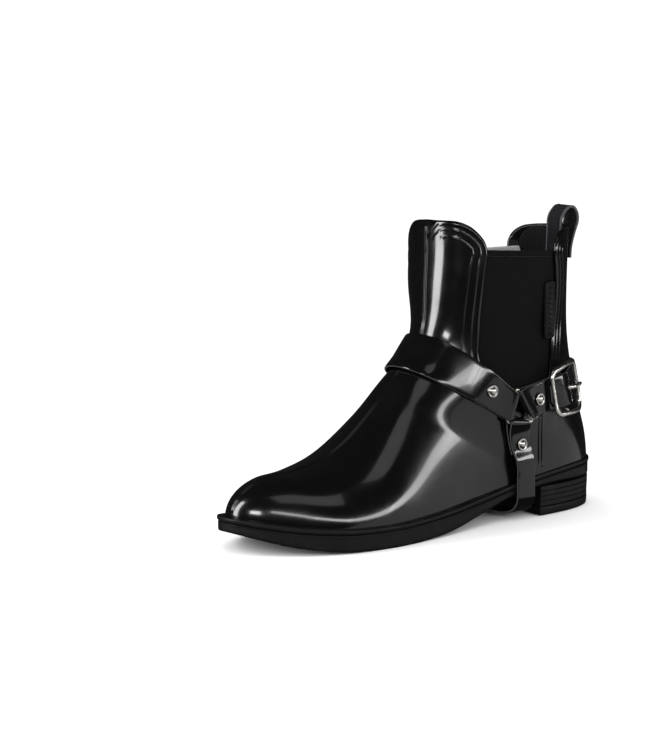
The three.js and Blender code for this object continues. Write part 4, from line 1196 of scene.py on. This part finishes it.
def both_ends(line, distance):
    return [line.frame(distance), line.frame(line.length - distance)]


def build_straps():
    slot = "patent_strap"
    looks = [strap_gloss, strap_edge]

    def curl(run, side):
        middle = smooth((near_end(run, instep_line.length) - 40) / 18)
        return 0.9 * middle * smooth((-side - 0.2) / 0.8)

    width = through([(0, 8.2), (12, 9.2), (45, 11.4), (90, 11.7)])
    Shell().add(*folded_strap(instep_line, INSTEP_RIVET + 5, width, front_slant, 0.6, curl)).made(
        "strap_over_instep", looks, slot=slot, replaces=["instep_strap"]
    )
    width = through([(0, 7.6), (10, 7.2), (24, 6.8), (60, 6.7)])
    Shell().add(*folded_strap(foot_line, STIRRUP_RIVET + 5, width, lower_slant, 0)).made(
        "strap_under_waist", looks, slot=slot, replaces=["stirrup_strap"]
    )
    to_bar = [(12, OVER), (7, 3.3), (3, 4.6), (0, BAR_HEIGHT + BAR_TURN)]
    rise = [(BUCKLE_AT - before, height) for before, height in to_bar]
    chape_height = through([(0, FOLD_TOP), (4, 4), (8, OVER)] + rise)
    path = (
        steps(18, 1, 3, lambda run: UNDER)
        + fold(0, RING_HEIGHT, RING_TURN, -1)
        + steps(2, BUCKLE_AT - 1.5, 3, chape_height)
        + fold(BUCKLE_AT, BAR_HEIGHT, BAR_TURN, 1)[::-1]
        + steps(BUCKLE_AT - 1, 19.5, 3, lambda run: UNDER)
    )
    half = lambda run: 9.3 + MITRE * np.minimum(run, 0)
    lean = lambda run: rear_slant * (1 - smooth(run / 22))
    strap = Shell().add(*ribbon(heel_line, path, half, lean))
    strap.made("strap_with_buckle", looks, slot=slot, replaces=["buckle_strap"])
    end = heel_line.length
    over_bar = [(-8, 5.2), (-4, 6.5), (0, 7.05), (4, 6.6), (9, 5), (14, 3.6), (20, 2.6), (26, 2.4)]
    to_fold = [(45, 2.2), (36, UNDER + 0.3), (25, OVER), (9.5, OVER), (4.5, 4), (0, FOLD_TOP)]
    stations = [(TAIL_END, 4.7)] + [(BUCKLE_AT + past, height) for past, height in over_bar]
    stations += [(90, 3.2)] + [(end - before, height) for before, height in to_fold]
    threaded = through(stations)
    path = (
        steps(TAIL_END, end - 2, 3.2, threaded)
        + fold(end, RING_HEIGHT, RING_TURN, 1)[::-1]
        + steps(end - 1, end - HEEL_RIVET - 5, 3, lambda run: UNDER)
    )
    half = lambda run: 9.2 - 5.5 * smooth((TAIL_END + 6 - run) / 7) ** 2 + MITRE * np.minimum(end - run, 0)
    lean = lambda run: -rear_slant * (1 - smooth((end - run) / 22))
    strap = Shell().add(*ribbon(heel_line, path, half, lean))
    strap.made("strap_round_heel", looks, slot=slot, replaces=["heel_strap"])


# ---- metal fittings ----
def build_ring(side):
    """Triangular wire ring whose bars lie in the folds of the straps."""

    def side_length(a, b):
        return np.linalg.norm(RING[b] - RING[a])

    bars = []
    for line, amount, half in (
        (instep_line, front_slant, side_length(0, 1) / 2),
        (foot_line, lower_slant, side_length(1, 2) / 2),
        (heel_line, rear_slant, -side_length(2, 0) / 2),
    ):
        ends = []
        for w in (half, -half):
            run = amount * w if side == LATERAL else line.length - amount * w
            ends.append(at(line.frame(run), 0.0, w, RING_HEIGHT))
        bars.append(ends)
    corners = [(bars[i][0] + bars[i - 1][1]) / 2 for i in range(3)]
    path = []
    for i in range(3):
        before, after = corners[i - 1], corners[(i + 1) % 3]
        a = corners[i] + unit(before - corners[i]) * 2.2
        b = corners[i] + unit(after - corners[i]) * 2.2
        t = np.linspace(0, 1, 9)[:, None]
        path.append((1 - t) ** 2 * a + 2 * t * (1 - t) * corners[i] + t**2 * b)
        t = np.linspace(0, 1, 14)[1:-1, None]
        path.append(b + (after + unit(corners[i] - after) * 2.2 - b) * t)
    path = np.vstack(path)
    out = unit(np.cross(corners[1] - corners[0], corners[2] - corners[0]))
    name = "lateral" if side > 0 else "medial"
    Shell().add(*rod(path, np.full((len(path), 2), WIRE), 20, True, out)).made(
        f"wire_ring_{name}", [nickel], slot="nickel", replaces=[f"ring_{name}"]
    )


def build_rivet(name, f):
    """Cap with a rolled rim and a domed middle, over its post."""
    low = UNDER - STRAP / 2 - GAP
    high = OVER + STRAP / 2 + CROWN + GAP
    dome = [(0.02, -0.25), (3.3, -0.25), (3.62, -0.12), (3.75, 0.2), (3.65, 0.55), (3.4, 0.78), (3.1, 0.84)]
    dome += [(2.85, 0.74), (2.7, 0.6), (2.55, 0.66), (2.2, 1.0), (1.7, 1.32), (1.1, 1.53)]
    dome += [(0.5, 1.62), (0.02, 1.64)]
    head = Shell().add(*turned([(radius, high + rise) for radius, rise in dome], 48, f))
    head.made(f"{name}_head", [nickel], slot="nickel", replaces=[f"{name}_cap"], sharp=75)
    flange = [(0.02, low - 0.25), (2.7, low - 0.25), (2.9, low - 0.1), (2.9, low + 0.1)]
    stem = [(1.25, low + 0.15), (1.25, high - 0.3), (0.02, high - 0.28)]
    shaft = Shell().add(*turned(flange + stem, 32, f))
    shaft.made(f"{name}_shaft", [nickel], slot="nickel", replaces=[f"{name}_post"], sharp=40)


buckle_frame = heel_line.frame(BUCKLE_AT)
buckle_frame["origin"] = buckle_frame["origin"] + buckle_frame["out"] * BAR_HEIGHT


def build_buckle():
    """Frame and centre bar; a station is (along, across, height, radius outwards, radius in plane)."""
    front = [(-12, 0, 3.4, 1, 2.0), (-12, 6, 3.4, 1, 2.0), (-11.6, 10, 3.5, 1.1, 2.2)]
    front += [(-9.5, 12.4, 3.7, 1.2, 2)]
    side = [(-5, 13.3, 4.2, 1.3, 1.7), (0, 13.9, 4.7, 1.35, 1.5), (6, 14.3, 4.7, 1.35, 1.5)]
    side += [(10.5, 13.8, 4.2, 1.35, 1.5)]
    rear = [(13, 11.4, 3.5, 1.35, 1.5), (13.7, 7, 3.15, 1.35, 1.4), (13.9, 0, 3.05, 1.35, 1.4)]
    upper = front + side + rear
    stations = np.array(upper + [(a, -w, n, ru, rv) for a, w, n, ru, rv in upper[-2:0:-1]])
    smooth_path = resample(stations, 0.9, closed=True)
    path = at(buckle_frame, smooth_path[:, 0], smooth_path[:, 1], smooth_path[:, 2])
    shell = Shell().add(*rod(path, smooth_path[:, 3:5], 20, True, buckle_frame["out"]))
    half_bar = [(0, 9.9, 0), (0, 10.6, 0.3), (0, 11.6, 2.2), (0, 13.6, 4.3)]
    other_half = [(0, -w, height) for _, w, height in half_bar[::-1]]
    bar = resample(np.array(other_half + [(0, 0, 0)] + half_bar), 0.8)
    path = at(buckle_frame, bar[:, 0], bar[:, 1], bar[:, 2])
    shell.add(*rod(path, np.full((len(path), 2), BAR), 18, False, buckle_frame["along"]))
    shell.made("buckle_rim_and_bar", [nickel], slot="nickel", replaces=["buckle_frame"])


def build_prong():
    """Prong: rolled round the centre bar, then forward onto the frame's front."""
    turns = np.radians(range(-50, -251, -20))
    roll = [(2.05 * math.cos(turn), 2.05 * math.sin(turn)) for turn in turns]
    rise_part = [(1.4, 2.5), (3, 3.6), (4.7, 5), (6.6, 5.75), (10, 5.9), (13.6, 5.75), (15.6, 5.2)]
    radii = [(0.75, 1.4)] * len(roll) + [(0.8, 1.25)] * 4 + [(0.85, 1.2), (0.9, 1.15), (0.55, 0.7)]
    both = resample(np.array([(*p, *r) for p, r in zip(roll + rise_part, radii)]), 0.5)
    path = at(buckle_frame, both[:, 0], 0 * both[:, 0], both[:, 1])
    ahead = unit(np.gradient(path, axis=0))
    out = np.cross(ahead, buckle_frame["across"])
    prong = Shell().add(*rod(path, both[:, 2:4], 16, False, out))
    prong.made("prong", [nickel], body="buckle_prong", slot="nickel", replaces=["buckle_prong"])


# ---- gore tag and pull loop ----
def tag_frame():
    x, z = np.array([44.0]), np.array([118.5])
    origin = on_skin(x, z, LATERAL)[0]
    out = unit(normal_at(origin) * [1, 1, 0])
    across = np.array([0, 0, 1.0])
    return {"origin": origin, "along": unit(np.cross(across, out)), "across": across, "out": out}


def rounded(half_long, half_tall, corner, count=8):
    """Rectangle with round corners."""
    outline = []
    for sx, sy, first in ((1, 1, 0), (-1, 1, 90), (-1, -1, 180), (1, -1, 270)):
        for k in range(count + 1):
            a = math.radians(first + 90 * k / count)
            x = sx * (half_long - corner) + corner * math.cos(a)
            y = sy * (half_tall - corner) + corner * math.sin(a)
            outline.append((x, y))
    return np.array(outline)


def raised_plate(f, half_long, half_tall, corner, profile):
    """Loops of a rounded outline, each (inset, height)."""
    loops = []
    for inset, height in profile:
        outline = rounded(half_long - inset, half_tall - inset, max(corner - inset, 0.15))
        loops.append(at(f, outline[:, 0], outline[:, 1], np.full(len(outline), float(height))))
    return tube(np.array(loops))


def build_tag():
    """Moulded tag with a raised rim, plain bars and a row of stitches."""
    f = tag_frame()
    profile = [(0.2, -1.3), (0, -1.1), (0, 0.45), (0.12, 0.7), (0.35, 0.8), (0.75, 0.8), (1.0, 0.68)]
    profile += [(1.15, 0.3), (1.3, 0.1)]
    shell = Shell().add(*raised_plate(f, 4.7, 16.5, 1.6, profile))
    for w in np.linspace(-12, 12, 9):
        spot = dict(f, origin=at(f, 0.0, w, 0.0))
        shell.add(*raised_plate(spot, 2.6, 0.7, 0.5, [(0, -0.4), (0, 0.35), (0.1, 0.5), (0.3, 0.56)]))
    shell.made("moulded_tag", [tag_rubber], slot="tag_rubber", replaces=["gore_tag"], sharp=60)
    w = np.linspace(-14, 14, 13)
    spots = at(f, np.full(13, 3.95), w, np.full(13, 0.78))
    stitches("tag_stitches", spots, np.broadcast_to(f["out"], spots.shape), 1.5, 0.2)


LOOP_HALF, LOOP_THICK = 6.0, 1.5


def webbing(path, slim=0.0):
    """Ribbed webbing with a piped bead along each edge; slim takes a little off its width and thickness."""
    path = resample(np.array(path, float), 0.5)
    d = unit(np.gradient(path, axis=0))
    normal = np.stack([-d[:, 1], d[:, 0]], 1)
    ws = np.linspace(-1, 1, 61) * (LOOP_HALF - 0.2 - slim)
    rib = 0.1 * np.cos(2 * math.pi * ws / 1.45) - 0.35 * bell(np.abs(ws) - 4.1, 0.35)
    top = np.column_stack([ws, LOOP_THICK / 2 - 0.12 - slim + rib])
    section = np.vstack([top, top[::-1] * [1, -1]])
    side_by_side = lambda flat, w: np.insert(flat, 1, LOOP_Y + w, axis=1)
    loops = [side_by_side(path + normal * n, w) for w, n in section]
    points, faces = tube(np.stack(loops, 1))
    beads = []
    for side in (-1, 1):
        line = side_by_side(path, side * (LOOP_HALF - 0.55))
        radii = np.full((len(line), 2), 0.82 - slim)
        radii[[0, -1]] = 0.5
        beads.append(rod(line, radii, 12, False, np.array([0, 1.0, 0])))
    shell = Shell().add(points, faces, 0)
    for bead in beads:
        shell.add(*bead, 1)
    return shell, path, normal


def build_loop():
    """Pull loop: the arch that folds, and the two sewn legs that it joins."""
    looks = [loop_cloth, piping]
    arch = [
        (9.3, 161.3), (8.8, 162.6), (7.6, 165.4), (7.2, 168.5), (8.2, 172), (11, 174.9),
        (14.6, 174.9), (17.8, 172.6), (20, 169.8), (20.8, 167.2), (20.95, 165.7),
    ]
    webbing(arch)[0].made("loop_arch", looks, body="pull_loop", slot="loop_webbing", replaces=["pull_loop"])
    legs = {
        "outer": [(13.0, 145), (12.5, 151), (11.2, 156), (9.6, 160.4), (9.1, 161.8)],
        "inner": [(20.9, 166.4), (21, 165), (21.2, 160), (21.5, 154), (21.9, 147)],
    }
    for name, leg in legs.items():
        shell, path, normal = webbing(leg, slim=0.1)
        shell.made(f"loop_{name}_leg", looks, slot="loop_webbing", replaces=[f"pull_loop_{name}_leg"])
        sewn = slice(3, -3, 5)
        normals = np.insert(normal[sewn], 1, 0, axis=1)
        for side, hand in ((-1, "right"), (1, "left")):
            spots = np.insert(path[sewn] + normal[sewn] * 0.72, 1, LOOP_Y + side * 3.0, axis=1)
            stitches(f"loop_{name}_stitches_{hand}", spots, normals, 1.8, 0.22)


# ---- moulded ribs laid on the skin ----
def skin_rib(name, places, width, height, twin):
    """A pair of low ridges that run over the upper, either side of the given points."""
    normals = normal_at(places)
    ahead = unit(np.gradient(places, axis=0))
    across = unit(np.cross(ahead, normals))
    shell = Shell()
    t = np.linspace(-1, 1, 15)
    fade = smooth(np.minimum(np.arange(len(places)), np.arange(len(places))[::-1]) / 6)
    for offset in (-twin, twin):
        section = [(offset + width * a, height * (bell(a, 0.5) - 0.04)) for a in t]
        section += [(offset + width * a, -0.25) for a in t[::-1]]
        heights = [h * np.where(h > 0, fade, 1) for _, h in section]
        loops = [places + across * w + normals * h[:, None] for (w, _), h in zip(section, heights)]
        shell.add(*tube(np.stack(loops, 1)))
    shell.made(name, [upper_rubber], slot="upper_rubber")


def build_ribs():
    v = np.linspace(0.02, 0.955, 420)
    x, _ = ends_of(v)
    seam = np.column_stack([x, middle_y(x), height_of(x, v)])
    skin_rib("front_seam", resample(seam, 1.0), 0.75, 0.42, twin=0.7)
    z = np.linspace(29, 60, 40)
    for side, name in ((LATERAL, "lateral"), (MEDIAL, "medial")):
        skin_rib(f"quarter_ribs_{name}", on_skin(57.5 + 0 * z, z, side), 1.0, 0.7, twin=1.35)


def dress(node, look):
    """Give a piece that keeps its plain shape its own material."""
    piece = bpy.data.objects[node]
    piece.data.materials.clear()
    piece.data.materials.append(look)


build_upper()
build_lining()
for side in (LATERAL, MEDIAL):
    build_gore(side)
    build_ring(side)
build_welt()
build_outsole()
build_heel()
build_footbed()
build_straps()
for name, f in {
    "rivet_instep_lateral": both_ends(instep_line, INSTEP_RIVET)[0],
    "rivet_instep_medial": both_ends(instep_line, INSTEP_RIVET)[1],
    "rivet_buckle_strap": heel_line.frame(CHAPE_RIVET),
    "rivet_heel_strap": heel_line.frame(heel_line.length - HEEL_RIVET),
    "rivet_stirrup_lateral": both_ends(foot_line, STIRRUP_RIVET)[0],
    "rivet_stirrup_medial": both_ends(foot_line, STIRRUP_RIVET)[1],
}.items():
    build_rivet(name, f)
build_buckle()
build_prong()
build_tag()
build_loop()
build_ribs()
dress("insole_board", fibreboard)
dress("bottom_filler", cork_filler)
dress("steel_shank", spring_steel)


# ---- camera, light and floor ----
SWING, LIFT = math.radians(40.2), math.radians(8.8)
# unit vectors from the boot to the camera, to the camera's right and up in its picture
back = np.array([math.sin(SWING) * math.cos(LIFT), math.cos(SWING) * math.cos(LIFT), math.sin(LIFT)])
right = np.array([-math.cos(SWING), math.sin(SWING), 0.0])
rise = np.cross(back, right)
DISTANCE = 1800.0
VIEW_HEIGHT = 424.93
aim = np.array([135.0, 0, 80]) - right * 42.78 + rise * 6.8


def aimed(thing, place, target):
    thing.location = Vector(world(place))
    thing.rotation_mode = "QUATERNION"
    thing.rotation_quaternion = (Vector(world(target)) - Vector(world(place))).to_track_quat("-Z", "Y")


def make_camera():
    data = bpy.data.cameras.new("camera")
    data.lens = 36 * DISTANCE / VIEW_HEIGHT
    data.sensor_width = 36
    data.clip_end = 50
    thing = bpy.data.objects.new("camera", data)
    bpy.context.scene.collection.objects.link(thing)
    aimed(thing, aim + back * DISTANCE, aim)
    bpy.context.scene.camera = thing


def soft_box(name, place, target, size, power):
    data = bpy.data.lights.new(name, "AREA")
    data.shape = "RECTANGLE"
    data.size, data.size_y = size
    data.energy = power
    thing = bpy.data.objects.new(name, data)
    bpy.context.scene.collection.objects.link(thing)
    aimed(thing, place, target)
    return thing


make_camera()
centre = (130, 0, 60)


def polar(azimuth, elevation, distance):
    """Place round the boot; azimuth 0 is the camera's side, positive to the camera's right."""
    a = math.radians(azimuth)
    flat = np.array([back[0], back[1], 0]) / math.hypot(back[0], back[1])
    e = math.radians(elevation)
    level = flat * math.cos(a) + right * math.sin(a)
    return np.array(centre) + distance * (math.cos(e) * level + np.array([0, 0, math.sin(e)]))


def standing(azimuth, distance, height):
    """Place beside the boot at a height above the floor."""
    place = polar(azimuth, 0, distance)
    place[2] = height
    return place


soft_box("tall", standing(-72, 620, 330), standing(-72, 0, 330), (0.2, 0.62), 3.6)
soft_box("small", standing(-24, 760, 290), standing(-24, 0, 120), (0.2, 0.12), 1.0)
# one long sloping strip, in four lengths
for azimuth in (8, 34, 60, 86):
    place = standing(azimuth, 900, 400 - 3.15 * (azimuth - 8))
    strip = soft_box(f"strip_{azimuth}", place, standing(azimuth, 0, 60), (0.44, 0.09), 0.85)
    strip.rotation_quaternion = strip.rotation_quaternion @ Quaternion((0, 0, 1), math.radians(-11.5))
card = soft_box("floor_card", standing(80, 340, 16), standing(80, 250, 400), (0.5, 0.34), 0.22)
card.visible_camera = False
soft_box("top", polar(30, 60, 1300), centre, (0.8, 0.5), 0.8)


def make_world():
    """White surround for the camera and for soft light, dark in mirror reflections."""
    made = bpy.data.worlds.new("studio")
    made.use_nodes = True
    tree = made.node_tree
    sky = tree.nodes["Background"]
    sky.inputs["Color"].default_value = (0.02, 0.02, 0.021, 1)
    white = tree.nodes.new("ShaderNodeBackground")
    white.inputs["Color"].default_value = (1, 1, 1, 1)
    white.inputs["Strength"].default_value = 1.15
    path = tree.nodes.new("ShaderNodeLightPath")
    mix = tree.nodes.new("ShaderNodeMixShader")
    bright = tree.nodes.new("ShaderNodeMath")
    bright.operation = "MAXIMUM"
    tree.links.new(path.outputs["Is Camera Ray"], bright.inputs[0])
    tree.links.new(path.outputs["Is Diffuse Ray"], bright.inputs[1])
    tree.links.new(bright.outputs[0], mix.inputs["Fac"])
    tree.links.new(sky.outputs[0], mix.inputs[1])
    tree.links.new(white.outputs[0], mix.inputs[2])
    tree.links.new(mix.outputs[0], tree.nodes["World Output"].inputs["Surface"])
    bpy.context.scene.world = made


def make_floor():
    """Wide round floor, pale and matte, that mirror reflections don't see."""
    around, rings = 96, [0.25, 0.5, 0.9, 1.6, 3.0, 6.0]
    points = [(0, 0, 0)]
    for r in rings:
        for k in range(around):
            a = 2 * math.pi * k / around
            points.append((r * math.cos(a), r * math.sin(a), 0))
    faces = [(0, 1 + k, 1 + (k + 1) % around) for k in range(around)]
    for i in range(len(rings) - 1):
        for k in range(around):
            a, b = 1 + i * around + k, 1 + i * around + (k + 1) % around
            faces.append((a, a + around, b + around, b))
    mesh = bpy.data.meshes.new("floor")
    mesh.from_pydata(points, [], faces)
    made, n = material("floor", (0.93, 0.93, 0.93), 0.9, specular=0.0)
    n.to("Base Color", n.mixed(n.noise(3, detail=2), (0.92, 0.92, 0.92), (0.94, 0.94, 0.94)))
    mesh.materials.append(made)
    thing = bpy.data.objects.new("floor", mesh)
    bpy.context.scene.collection.objects.link(thing)
    thing.location.z = -0.0002
    thing.visible_glossy = False


make_world()
make_floor()
bpy.context.scene.view_settings.view_transform = "Standard"
